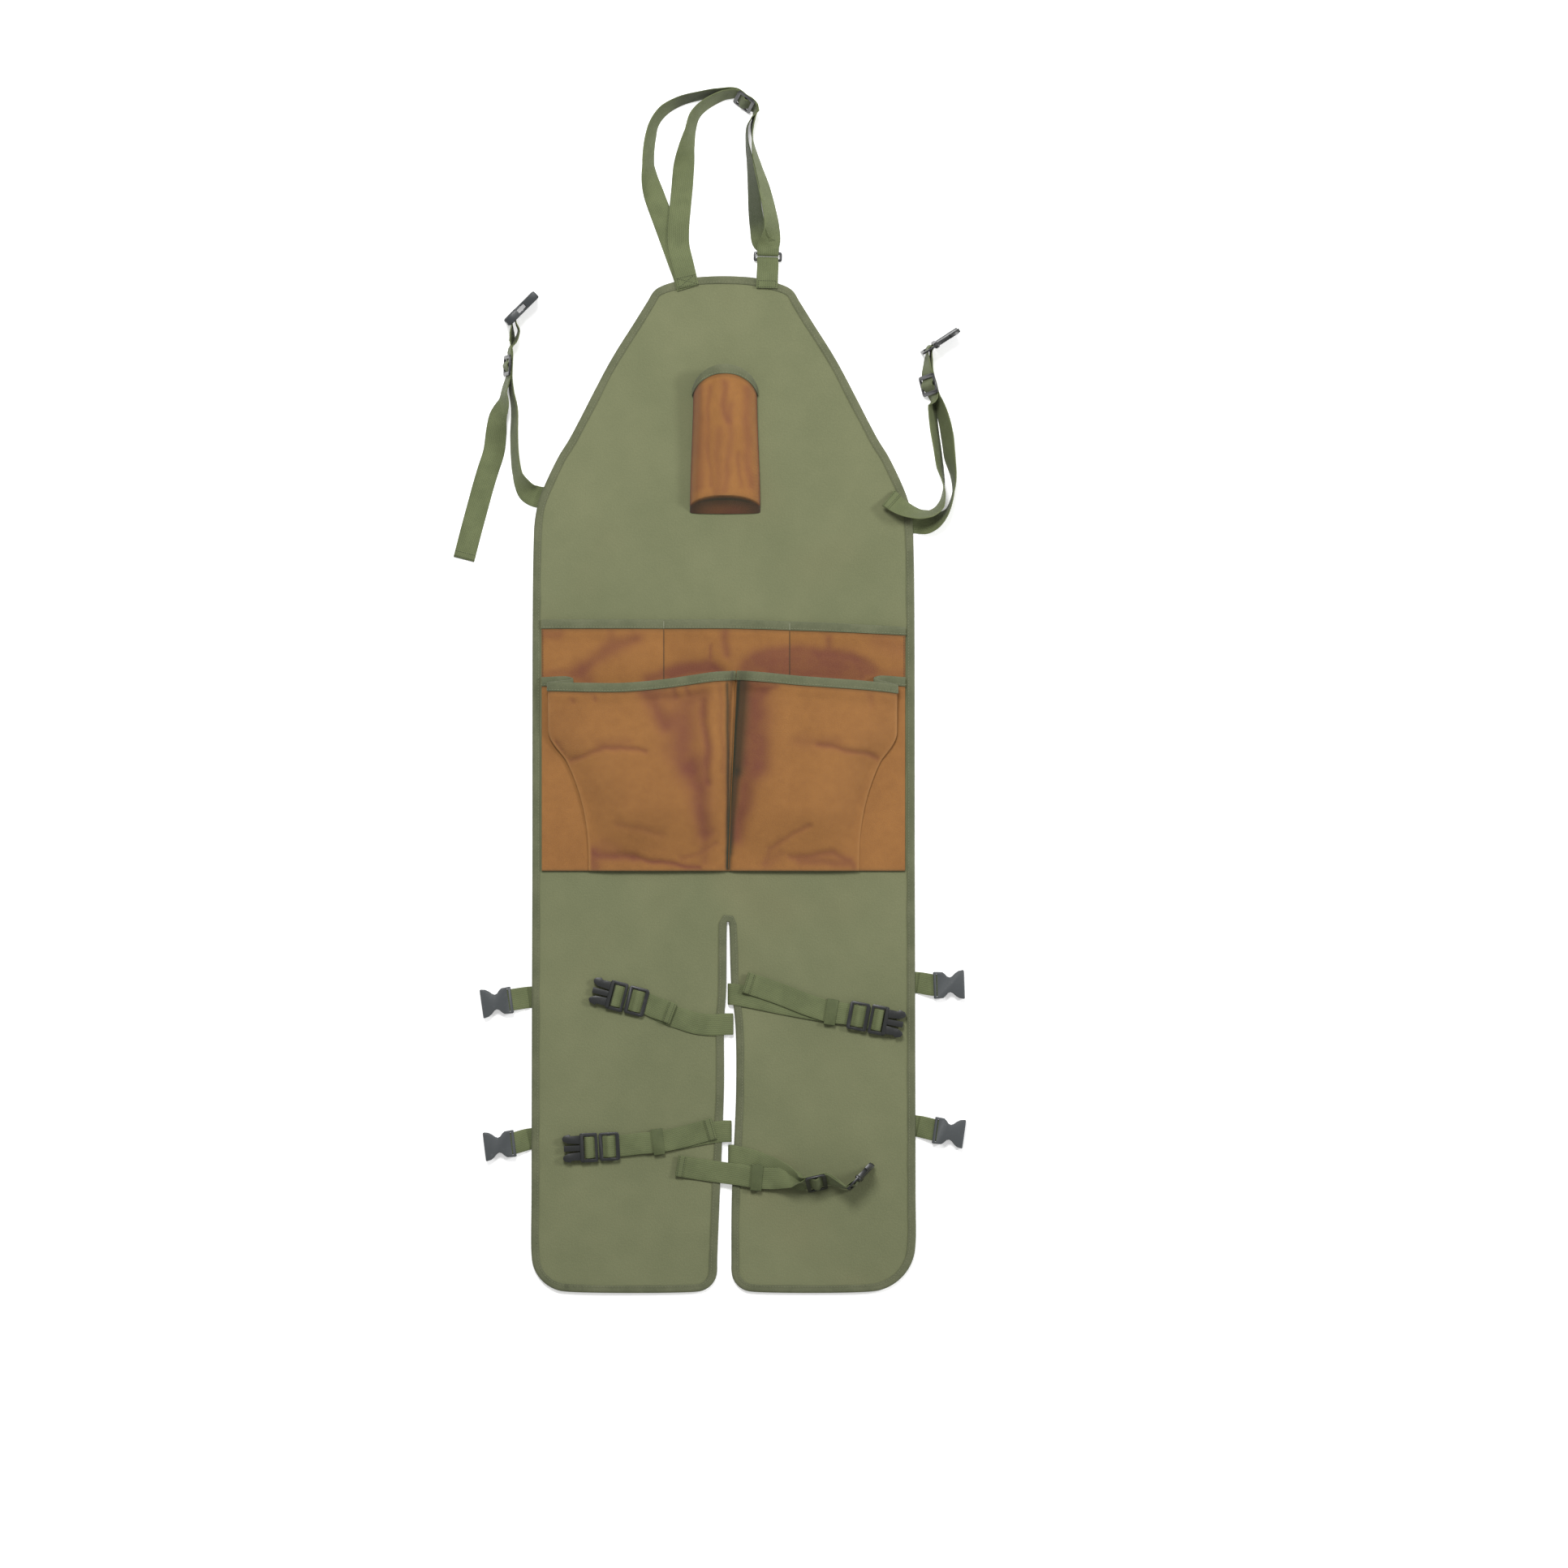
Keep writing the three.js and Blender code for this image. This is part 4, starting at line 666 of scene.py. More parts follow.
def rear_pocket():
    """The row's cloth, its points and its normals, with rows and columns where tape and seams are."""
    top, foot = REAR_TOP, REAR_FOOT
    columns = np.concatenate([np.linspace(low, high, int((high - low) / REAR_STEP) + 2)
                              for low, high in zip(REAR_BOUNDS, REAR_BOUNDS[1:])])
    beside_seams = [seam + step for seam in REAR_SEAMS for step in (-0.0012, -0.0005, 0.0005, 0.0012)]
    columns = np.unique(np.concatenate([columns, beside_seams]).round(6))
    rows = np.concatenate([[top], np.linspace(top - TAPE_WIDTH, foot, 100)])
    x, y = np.meshgrid(columns, rows)
    shown = smooth(top - 0.012, top - 0.03, y)
    sagged = y - mouth_sag(x, y)
    # Folds dent the cloth, and shade is painted into them.
    folds = field(x, sagged, REAR_FOLDS) * smooth(0.0963, 0.1133, y)
    stray = 0.0004 * np.sin(60 * x + 22 * y) * np.sin(34 * y - 25 * x) * compartment(x)
    z = rear_middle(x, y) + shown * smooth(foot, foot + 0.03, y) * (stray - 0.0016 * folds * compartment(x))
    # Dark lines along the seams, sides and foot, and a painted shadow just under the tape.
    seam_line = sum(np.abs(x - seam) < 0.0007 for seam in REAR_SEAMS) * 0.62
    under_tape = 0.55 * beside(top - TAPE_WIDTH - 0.0008 - y, 0.0017)
    foot_line = 0.5 * beside(y - foot)
    side_line = 0.45 * beside(REAR_HALF - np.abs(x))
    deep = np.maximum.reduce([seam_line * (y < top - TAPE_WIDTH), under_tape, foot_line, side_line])
    grid = np.stack([x, sagged, z], axis=2)
    mesh, normal = cloth("rear_pocket_row", grid, POCKET_CLOTH, fold=folds, deep=deep, rubbed=0)
    return mesh, grid, normal


rear_mesh, rear_grid, rear_normal = rear_pocket()
rear_piece = piece("rear_pocket_row", rear_mesh, twill_look, "rear_pocket")
brown_thread = thread_finish("brown_thread", (0.12, 0.06, 0.03))
ON_CLOTH = POCKET_CLOTH / 2 + 2 * THREAD_LIFT
ON_TAPE = POCKET_CLOTH / 2 + TAPE_LIFT


def on_rear(x, y, lift=ON_CLOTH):
    """A point on the row's outer face."""
    return x, y - float(mouth_sag(x, y)), float(rear_middle(np.array(x), np.array(y))) + lift


def bound(name, grid, normal, node):
    """The tape on a pocket's mouth. It gives back where the tape's row of stitches runs."""
    edge, foot = grid[:2]
    edge_normal, foot_normal = normal[:2]
    tape = mouth_tape(name, edge, foot, edge_normal, foot_normal)
    piece(name, tape, tape_look, node)
    share = 0.8
    off = ON_TAPE + THREAD_LIFT
    return edge + (foot - edge) * share + (edge_normal * (1 - share) + foot_normal * share) * off


rear_row = bound("rear_pocket_tape", rear_grid, rear_normal, "rear_pocket_binding")


down_row = np.linspace(REAR_TOP - 0.012, REAR_FOOT + 0.004, 90)
down_side = np.linspace(REAR_TOP - 0.012, REAR_FOOT + 0.004, 60)
along_foot = np.linspace(-REAR_HALF + 0.002, REAR_HALF - 0.002, 90)
rear_paths = [[on_rear(seam, y) for y in down_row] for seam in REAR_SEAMS]
rear_paths.append([on_rear(x, REAR_FOOT + 0.0025) for x in along_foot])
for side_x in (0.0015 - REAR_HALF, REAR_HALF - 0.0015):
    rear_paths.append([on_rear(side_x, y) for y in down_side])
stitched("rear_pocket_stitches", rear_paths, brown_thread,
         pitch=0.003, length=0.0024, thickness=0.0006)
pale_thread = thread_finish("pale_thread", (0.33, 0.34, 0.24))
down_tape = np.linspace(REAR_TOP - 0.0012, REAR_TOP - 0.0082, 8)
tacks = [[on_rear(seam, y, ON_TAPE + 3 * THREAD_LIFT) for y in down_tape] for seam in REAR_SEAMS]
stitched("rear_tape_tacks", tacks, pale_thread, pitch=0.0011, length=0.0016)
stitched("rear_tape_stitches", [rear_row], olive_thread)

# Front pockets
# Two deep bellows pockets of the same twill. Each outer side is folded into a pleat, the inner sides
# meet in a valley, and the foot is tucked and sewn down. Both mouths are bound with tape.
FRONT_DEPTH = 0.025
FRONT_FOOT = -0.101
FRONT_ROWS = 96
VALLEY_PLACE = 0.0146
# Mouth place, foot place, mouth edge, then shares of the depth at the mouth, middle, low part and foot
LEFT_SHAPE = [
    (-0.2112, -0.2112, 0.123, 0.00, 0.00, 0.00, 0.00),
    (-0.181, -0.1479, 0.1237, 0.05, 0.02, 0.01, 0.005),
    (-0.1762, -0.1422, 0.1218, 0.15, 0.05, 0.03, 0.02),
    (-0.181, -0.1479, 0.1199, 0.25, 0.09, 0.055, 0.04),
    (-0.198, -0.1517, 0.118, 0.28, 0.09, 0.05, 0.04),
    (-0.2032, -0.1564, 0.1171, 0.39, 0.12, 0.07, 0.055),
    (-0.198, -0.1507, 0.1171, 0.51, 0.2, 0.12, 0.09),
    (-0.1573, -0.129, 0.1161, 0.70, 0.70, 0.52, 0.155),
    (-0.1148, -0.1101, 0.1161, 0.85, 1.00, 0.78, 0.155),
    (-0.0676, -0.0723, 0.1204, 0.92, 0.95, 0.75, 0.155),
    (-0.0392, -0.0392, 0.1246, 0.80, 0.70, 0.62, 0.14),
    (-0.009, -0.0128, 0.1289, 0.90, 0.80, 0.50, 0.12),
    (0.0061, 0, 0.1298, 0.60, 0.45, 0.25, 0.06),
    (0.0104, 0.0031, 0.1303, 0.08, 0.05, 0.03, 0.00),
    (0.0137, 0.0048, 0.1303, 0.00, 0.00, 0.00, 0.00),
]
RIGHT_SHAPE = [
    (0.0161, 0.0057, 0.1303, 0.00, 0.00, 0.00, 0.00),
    (0.0194, 0.0074, 0.1303, 0.08, 0.05, 0.03, 0.00),
    (0.0288, 0.0118, 0.1298, 0.50, 0.40, 0.25, 0.07),
    (0.0506, 0.0288, 0.1279, 0.85, 0.80, 0.55, 0.13),
    (0.0884, 0.0666, 0.1241, 0.97, 0.97, 0.78, 0.155),
    (0.1262, 0.1044, 0.1213, 0.90, 1.00, 0.78, 0.155),
    (0.164, 0.1309, 0.1185, 0.76, 0.74, 0.52, 0.155),
    (0.1951, 0.1517, 0.1152, 0.51, 0.2, 0.12, 0.09),
    (0.2013, 0.1573, 0.1142, 0.39, 0.12, 0.07, 0.055),
    (0.1961, 0.1526, 0.1161, 0.28, 0.09, 0.05, 0.04),
    (0.181, 0.1488, 0.1199, 0.25, 0.09, 0.055, 0.04),
    (0.1762, 0.1432, 0.1227, 0.15, 0.05, 0.03, 0.02),
    (0.181, 0.1488, 0.1246, 0.05, 0.02, 0.01, 0.005),
    (0.2112, 0.2112, 0.123, 0.00, 0.00, 0.00, 0.00),
]
LEFT_FOLDS = [
    ([(-0.0458, 0.0718), (-0.0496, 0.0434), (-0.0392, 0.0198)], 0.0151, 0.75),
    ([(-0.0392, 0.0198), (-0.0279, -0.0085), (-0.0241, -0.0368), (-0.0222, -0.0548)], 0.0095, 0.82),
    ([(-0.0241, 0.0944), (-0.0213, 0.067), (-0.0184, 0.034), (-0.0194, 0.0009)], 0.0047, 0.75),
    ([(-0.0884, 0.1067), (-0.0789, 0.0887), (-0.0685, 0.0699)], 0.0085, 0.72),
    ([(-0.0751, 0.1038), (-0.0487, 0.0982), (-0.0241, 0.1038)], 0.0085, 0.45),
    ([(-0.0704, 0.0699), (-0.0524, 0.0812), (-0.0411, 0.0925)], 0.0085, 0.4),
    ([(-0.0581, 0.1095), (-0.0553, 0.1001)], 0.0028, 0.6),
    ([(-0.0439, 0.1114), (-0.0411, 0.1038)], 0.0028, 0.5),
    ([(-0.1762, 0.0982), (-0.1753, 0.0963)], 0.0028, 0.4),
    ([(-0.1498, 0.101), (-0.1488, 0.0982)], 0.0028, 0.4),
    ([(-0.1791, 0.0274), (-0.1555, 0.0359), (-0.1366, 0.0415), (-0.1177, 0.0425),
      (-0.0893, 0.0378)], 0.0028, 0.55),
    ([(-0.1432, 0.0434), (-0.1101, 0.0491)], 0.0057, 0.25),
    ([(-0.197, 0.0481), (-0.181, 0.0217), (-0.1734, 0.0009)], 0.0038, 0.4),
    ([(-0.1517, -0.0793), (-0.1498, -0.0963)], 0.0066, 0.85),
    ([(-0.1498, -0.0831), (-0.1243, -0.0831), (-0.1054, -0.0859)], 0.0047, 0.85),
    ([(-0.1054, -0.0859), (-0.0704, -0.0916), (-0.0279, -0.0977)], 0.0028, 0.85),
    ([(-0.1384, -0.0699), (-0.1243, -0.0755)], 0.0076, 0.25),
    ([(-0.0487, -0.0859), (-0.0279, -0.0812), (-0.0099, -0.0699)], 0.0028, 0.35),
    ([(-0.1224, -0.0463), (-0.0704, -0.0585)], 0.0038, 0.2),
    ([(-0.0222, -0.0604), (-0.0213, -0.0906)], 0.0047, 0.35),
    ([(-0.0043, 0.1161), (0.0005, 0.0151)], 0.0028, 0.2),
]
RIGHT_FOLDS = [
    ([(0.0364, 0.1133), (0.0373, 0.0812), (0.0354, 0.0576), (0.0326, 0.0245)], 0.0151, 0.88),
    ([(0.0439, 0.0481), (0.0402, 0.0198)], 0.0085, 0.6),
    ([(0.0326, 0.0245), (0.0241, -0.0179), (0.0137, -0.0604)], 0.0095, 0.82),
    ([(0.0458, 0.1105), (0.0591, 0.1133)], 0.0038, 0.6),
    ([(0.0421, 0.0982), (0.0496, 0.1067)], 0.0038, 0.4),
    ([(0.1101, 0.0463), (0.1384, 0.0397), (0.1621, 0.0359), (0.1791, 0.0293)], 0.0028, 0.55),
    ([(0.0884, 0.0481), (0.1309, 0.0472)], 0.0066, 0.25),
    ([(0.0477, -0.0906), (0.0534, -0.0746), (0.0751, -0.0623), (0.0988, -0.0481)], 0.0028, 0.4),
    ([(0.077, -0.0859), (0.1035, -0.0831), (0.129, -0.0802), (0.1479, -0.0887),
      (0.1526, -0.0972)], 0.0038, 0.55),
    ([(0.0884, -0.0897), (0.1422, -0.0925)], 0.0047, 0.5),
    ([(0.0506, -0.0944), (0.0647, -0.0812)], 0.0057, 0.3),
    ([(0.1706, 0.1029), (0.1715, 0.0925)], 0.0038, 0.25),
    ([(0.008, 0.1171), (0.0071, 0.0151)], 0.0028, 0.55),
]
# Painted shadow in the valley between the two pockets
VALLEY = [
    ([(0.0189, 0.1265), (0.0156, 0.0812), (0.0109, 0.0151), (0.0071, -0.0415),
      (0.0055, -0.0982)], 0.0028, 1.0),
    ([(0.025, 0.1256), (0.0213, 0.0718), (0.0165, 0.0151)], 0.0066, 0.72),
    ([(0.0165, 0.0151), (0.0109, -0.0415), (0.0071, -0.0793)], 0.0038, 0.6),
]
# Painted shadow along the left pocket's inner edge
LEFT_EDGE = [([(0.0043, 0.1171), (0.0047, 0.0151), (0.0047, -0.0963)], 0.0017, 0.75)]


def front_pocket(name, shape, folds, valley, bend, inwards, count):
    """A front pocket's cloth, its points and its normals. The front starts inwards of the pleat's bend."""
    shape = np.array(shape)
    length = shape[7, 2] - FRONT_FOOT
    tape_share = TAPE_WIDTH / length
    rows = np.concatenate([[0], np.linspace(tape_share, 1, FRONT_ROWS)])
    places = np.linspace(0, len(shape) - 1, count)
    inner = 1 - smooth(0.05, 0.12, np.abs(shape[:, 0] - VALLEY_PLACE))
    grid = []
    for v in rows:
        slanted = (1 - (1 - np.clip((v - 0.25) / 0.72, 0, 1)) ** 2.3) * smooth(0.2, 0.42, v)
        drift = inner * v + (1 - inner) * slanted
        height = shape[:, 3] + (shape[:, 4] - shape[:, 3]) * smooth(0, 0.45, v)
        height = height + (shape[:, 5] - shape[:, 4]) * smooth(0.45, 0.95, v)
        height = height + (shape[:, 6] - height) * smooth(0.66, 1.0, v)
        across = shape[:, 0] + (shape[:, 1] - shape[:, 0]) * drift
        p = through(np.column_stack([across, shape[:, 2], height * FRONT_DEPTH]), places)
        x, y = p[:, 0], p[:, 1] + (FRONT_FOOT - p[:, 1]) * v
        base = rear_middle(x, y) + POCKET_CLOTH + 2 * GAP + tape_room(p[:, 1] - y)
        grid.append(np.column_stack([x, y, base + p[:, 2]]))
    grid = np.array(grid)
    x, y = grid[..., 0], grid[..., 1]
    lift = grid[..., 2] - rear_middle(x, y) - POCKET_CLOTH
    on_front = smooth(bend, bend + inwards, places)[None, :]
    # Folds dent the front and carry painted shade.
    dents = field(x, y, folds)
    below_tape = smooth(0.0, 0.25, (rows[:, None] - tape_share) * 4)
    soft = np.sin(70 * x + 30 * y) * np.sin(52 * y - 31 * x + 1.0) * 0.0005
    grid[..., 2] += on_front * below_tape * smooth(0.002, 0.009, lift) * (soft - 0.0035 * dents)
    # Painted shade in the valley and just under the tape, a dark line along the foot, and a paler line
    # along the pleat's bend.
    tape_line = 0.5 * beside((rows[:, None] - tape_share * 1.06) * length)
    foot_line = 0.5 * beside(y - FRONT_FOOT)
    deep = np.maximum.reduce(np.broadcast_arrays(field(x, y, valley, 0.2), tape_line, foot_line))
    rubbed = 0.22 * beside(places[None, :] - bend, 0.3) * smooth(0.04, 0.12, rows)[:, None]
    mesh, normal = cloth(name, grid, POCKET_CLOTH, fold=dents * on_front, deep=deep, rubbed=rubbed)
    return mesh, grid, normal


front_rows = []
for side, *shaping in (
    ("left", LEFT_SHAPE, LEFT_FOLDS, VALLEY + LEFT_EDGE, 5.2, 0.7, 170),
    ("right", RIGHT_SHAPE, RIGHT_FOLDS, VALLEY, 7.8, -0.7, 160),
):
    name = f"front_pocket_{side}"
    mesh, grid, normal = front_pocket(name + "_twill", *shaping)
    twill = piece(name + "_twill", mesh, twill_look, name)
    front_rows.append(bound(name + "_tape", grid, normal, f"front_pocket_binding_{side}"))
stitched("front_tape_stitches", front_rows, olive_thread)

# Chest pocket
# A narrow bellows pocket for a phone or shears, sewn to the bib on three sides, with an arched mouth.
CHEST_WIDTH = 0.079
CHEST_LENGTH = 0.162
CHEST_DEPTH = 0.028
CHEST_CENTRE = 0.0019
CHEST_MOUTH = 0.4683
CHEST_RISE = 0.017
CHEST_FOLDS = [
    ([(-0.0288, 0.4588), (-0.0269, 0.4022), (-0.0279, 0.3455)], 0.0057, 0.35),
    ([(-0.0156, 0.4607), (-0.0184, 0.4116), (-0.0146, 0.3455)], 0.0028, 0.3),
    ([(0.0014, 0.4645), (0.0005, 0.4399), (0.0052, 0.4211)], 0.0038, 0.45),
    ([(0.009, 0.4399), (0.0071, 0.3833), (0.0014, 0.3408)], 0.0038, 0.35),
    ([(-0.0052, 0.4116), (-0.0071, 0.338)], 0.0047, 0.3),
    ([(0.0269, 0.4588), (0.0279, 0.3833), (0.0317, 0.3455)], 0.0047, 0.4),
    ([(0.0175, 0.3833), (0.0194, 0.3455)], 0.0028, 0.3),
]


def chest_pocket():
    """The pocket's cloth, its points and its normals: an arch over the bib that closes at its foot."""
    tape_share = TAPE_WIDTH / CHEST_LENGTH
    u = np.linspace(0, 1, 120)[None, :]
    rows = np.concatenate([[0], np.linspace(tape_share, 0.86, 56), np.linspace(0.86, 1, 36)[1:]])[:, None]
    angle = np.pi * u
    turn = np.cos(angle)
    sine = np.maximum(np.sin(angle), 0)
    half = (CHEST_WIDTH / 2 - POCKET_CLOTH) * (0.955 + 0.1 * smooth(0, 1, rows))
    x = CHEST_CENTRE - half * np.sign(turn) * np.abs(turn) ** 0.85 + 0 * rows
    brim = 0.95 - 0.07 * sine
    past_brim = (rows - brim) / (1 - brim)
    closing = np.where(rows > brim, 1 - 0.94 * np.maximum(past_brim, 0) ** 0.8, 1)
    rise = CHEST_DEPTH * (1 - 0.2 * smooth(0, 0.9, rows)) * (1 + 0.05 * np.cos(8 * angle) * sine)
    rise = rise * closing * sine ** 0.75
    shoulder = CHEST_MOUTH - 0.55 * CHEST_RISE
    mouth = shoulder + 1.55 * CHEST_RISE * sine ** 1.4
    foot = CHEST_MOUTH - CHEST_LENGTH + CHEST_RISE / 2 + 0.0022 * (1 - sine ** 0.4)
    y = mouth + (foot - mouth) * rows
    creases = field(x, y, CHEST_FOLDS)
    front = 1 - smooth(0, 0.02, rows - brim)
    rise = rise - 0.0016 * creases * sine * front * smooth(tape_share * 2, 0.2, rows)
    grid = np.stack([x, y, PANEL_TOP + GAP + rise], axis=2)
    # Painted shade: darker sides and creases, darker past the brim, a painted shadow crescent under the
    # brim, and darker corners, outlines, end wall and a line under the tape.
    edges = 1 - smooth(0.0, 0.2, u) * smooth(1.0, 0.8, u)
    crescent = beside(rows - brim - 0.024, 0.022) * sine ** 0.4
    end_wall = 0.72 * smooth(0.0, 0.02, rows - brim) * (1 - 0.5 * sine ** 4 * smooth(0.3, 0.8, past_brim))
    shade = np.clip(0.95 * edges ** 1.6 + 1.15 * creases * front + 0.85 * (1 - front), 0, 1)
    corners = beside(rows - 0.955, 0.03) * (1 - smooth(0.02, 0.09, u) * smooth(0.98, 0.91, u))
    outline = 0.65 * (1 - smooth(0.0, 0.035, u) * smooth(1.0, 0.965, u))
    under_tape = 0.75 * beside(rows - tape_share * 1.1, 0.012) * (1 - 0.55 * sine)
    shades = (0.92 * crescent, 0.75 * corners, outline, under_tape, end_wall)
    deep = np.maximum.reduce(np.broadcast_arrays(*shades))
    mesh, normal = cloth("chest_pocket_twill", grid, POCKET_CLOTH, fold=shade, deep=deep, rubbed=0)
    return mesh, grid, normal


chest_mesh, chest_grid, chest_normal = chest_pocket()
chest_piece = piece("chest_pocket_twill", chest_mesh, twill_look, "chest_pocket")
chest_row = bound("chest_pocket_tape", chest_grid, chest_normal, "chest_pocket_binding")
stitched("chest_tape_stitches", [chest_row], olive_thread)

# Webbing straps
# Flat olive webbing, 25 mm wide. The neck strap is one ribbon with both ends sewn to the bib, and each
# other strap runs from an end sewn to the panel to a free end with a turned hem.
WEBBING = 0.0014
WEBBING_WIDTH = 0.025
WEBBING_STEP = 0.0022
SAME_LENGTH = 6e-6


def webbing_finish():
    """Ribbed weave: ribs along the strap made of short floats, lighter where they catch the light."""
    finish = Finish("olive_webbing", sheen_weight=0.08, sheen_roughness=0.4, specular_ior_level=0.35)
    vector, _ = finish.place()
    _, (u, v, _) = finish.place("cloth")
    column = u / 0.0016
    parity = (column * 0.5).fraction().between(0.49, 0.51)
    rib = abs((column * math.pi).sine()) ** 0.6
    floats = 0.5 + 0.5 * ((v / 0.0021 + parity * 0.5) * math.tau).sine()
    weave = rib * (0.55 + 0.45 * floats)
    cloudy = finish.noise(vector, 40.0, 3.0).between(0.3, 0.7)
    fuzz = finish.noise(vector, 900.0, 2.0).between(0.3, 0.75)
    shade = weave * 0.6 + cloudy * 0.25 + fuzz * 0.15
    colour = finish.mixed((0.058, 0.072, 0.027), (0.148, 0.172, 0.076), shade)
    # Painted shade on strands that lie in shade.
    colour = finish.mixed(colour, (0.026, 0.034, 0.014), finish.attribute("soiled"))
    return finish.wear(colour, 0.68 + 0.16 * fuzz, weave * 0.75 + fuzz * 0.25, 0.0004)


webbing_look = webbing_finish()


def is_section(v, beside_v, above_v, last):
    """Whether four corners, in the order low, low, high and high, are a strap's square-cut section."""
    return (abs((last.co - above_v.co).length - WEBBING_WIDTH) < SAME_PLACE
            and abs((above_v.co - v.co).dot((beside_v.co - v.co).normalized())) < 4e-6
            and (above_v.co - v.co - (last.co - beside_v.co)).length < SAME_LENGTH)


def section_from(v, tied, taken):
    """The four corners of the section that a corner belongs to, or None."""
    for e in v.link_edges:
        o = e.other_vert(v)
        if abs(e.calc_length() - WEBBING_WIDTH) > SAME_PLACE or o in taken or o not in tied:
            continue
        for v2 in tied[v]:
            near = {x.other_vert(v2) for x in v2.link_edges}
            match = [o2 for o2 in tied[o] if o2 in near and is_section(v, o, v2, o2)]
            if match and v2 not in taken and len({v, o, match[0], v2}) == 4:
                return v, o, match[0], v2
    return None


def strap_rings(node):
    """The middle and the width direction at each ring of a CAD strap, in order."""
    mesh = merged(node)
    tied = {}
    for e in mesh.edges:
        if abs(e.calc_length() - WEBBING) < SAME_LENGTH:
            a, b = e.verts
            tied.setdefault(a, []).append(b)
            tied.setdefault(b, []).append(a)
    ring_of, rings = {}, []
    for v in mesh.verts:
        ring = section_from(v, tied, ring_of) if v in tied and v not in ring_of else None
        if ring:
            ring_of.update(dict.fromkeys(ring, len(rings)))
            rings.append(ring)
    beside_ring = [set() for _ in rings]
    for e in mesh.edges:
        a, b = (ring_of.get(v) for v in e.verts)
        if a is not None and b is not None and a != b:
            beside_ring[a].add(b)
            beside_ring[b].add(a)
    onward = [next(k for k, near in enumerate(beside_ring) if len(near) == 1)]
    order = []
    while onward:
        order.append(onward[0])
        onward = [k for k in beside_ring[order[-1]] if k not in order]
    middles, widths = [], []
    for k in order:
        corners = np.array([v.co for v in rings[k]])
        w = (corners[1] - corners[0]) / WEBBING_WIDTH
        if widths and w.dot(widths[-1]) < 0:
            w = -w
        middles.append(corners.mean(axis=0))
        widths.append(w)
    mesh.free()
    return np.array(middles), np.array(widths)


STRAP_SECTION = [
    (-1.0, 0.0), (-0.985, 0.62), (-0.93, 0.96), (-0.6, 1.0), (-0.2, 1.03), (0.2, 1.03), (0.6, 1.0),
    (0.93, 0.96), (0.985, 0.62), (1.0, 0.0), (0.985, -0.62), (0.93, -0.96), (0.6, -1.0), (0.2, -1.0),
    (-0.2, -1.0), (-0.6, -1.0), (-0.93, -0.96), (-0.985, -0.62),
]
SECTION_ACROSS = [a * WEBBING_WIDTH / 2 for a, _ in STRAP_SECTION]

# Where shade is painted on a strap, over strands that lie in shade: shares of its length from its lower
# end, and how much
DARKER = {"neck_strap": [(0.56, 0.69, 0.8), (0.24, 0.30, 0.5)]}


def strap_skin(middle, across, face):
    """The rings of a strap from its middle, its width direction and its face direction."""
    return np.stack([middle + across * (a * WEBBING_WIDTH / 2) + face * (h * WEBBING / 2)
                     for a, h in STRAP_SECTION], axis=1)


def rows_at(rows, run, places):
    """Rows of three numbers, read at places along their run."""
    return np.stack([np.interp(places, run, rows[:, k]) for k in range(3)], axis=-1)


def webbing(node):
    """A strap's ribbon. It gives back its middle, its width direction and its face direction."""
    middles, widths = strap_rings(node)
    places = evenly_along(middles, WEBBING_STEP)
    at = through(middles, places)
    w = rows_at(widths, np.arange(len(widths)), places)
    t = np.gradient(at, axis=0)
    t /= np.linalg.norm(t, axis=1)[:, None]
    w -= t * (w * t).sum(axis=1)[:, None]
    w /= np.linalg.norm(w, axis=1)[:, None]
    n = np.cross(t, w)
    if n[:, 2].sum() < 0:
        n = -n
    reach = np.abs(w[:, 2]) * WEBBING_WIDTH / 2 + np.abs(n[:, 2]) * WEBBING / 2
    at[:, 2] = np.maximum(at[:, 2], reach + 0.0001)
    run = run_along(at)
    share = run / run[-1] if at[0, 2] < at[-1, 2] else 1 - run / run[-1]
    # Painted shade over the listed stretches.
    soiled = 0 * share
    for start, end, strength in DARKER.get(node, []):
        begun = smooth(start - 0.012, start + 0.012, share)
        soiled = soiled + strength * begun * smooth(end + 0.012, end - 0.012, share)
    name = node + "_webbing"
    mesh = swept(name, strap_skin(at, w, n), SECTION_ACROSS, run, soiled=soiled)
    piece(name, mesh, webbing_look, node)
    return at, w, n


strap_paths = {}
for node in sorted(solids):
    if node.startswith(("neck_strap", "neck_tab", "waist_strap", "leg_strap", "leg_tab")):
        strap_paths[node] = webbing(node)

webbing_thread = thread_finish("webbing_thread", (0.05, 0.058, 0.03))


def seen_end(node):
    """The middle, width and upper face of a strap from its seen end inwards, with the run along it."""
    at, w, n = strap_paths[node]
    rise = at[-1, 2] - at[0, 2]
    last = rise > 0 if abs(rise) > GAP else abs(at[-1, 0]) > abs(at[0, 0])
    if last:
        at, w, n = at[::-1], w[::-1], n[::-1]
    return at, w, n * np.where(n[:, 2] < 0, -1, 1)[:, None], run_along(at)


def sewn_line(node, places, layer=0.0):
    """A path on the upper face through places of distance from the end and share of the half width."""
    at, w, up, run = seen_end(node)
    line = []
    for (d0, s0), (d1, s1) in zip(places, places[1:]):
        for t in np.linspace(0, 1, 8):
            d, s = d0 + (d1 - d0) * t, s0 + (s1 - s0) * t
            middle, across, face = (rows_at(rows, run, d) for rows in (at, w, up))
            lift = WEBBING / 2 + layer + 2 * THREAD_LIFT
            line.append(middle + across * (s * WEBBING_WIDTH / 2) + face * lift)
    return line


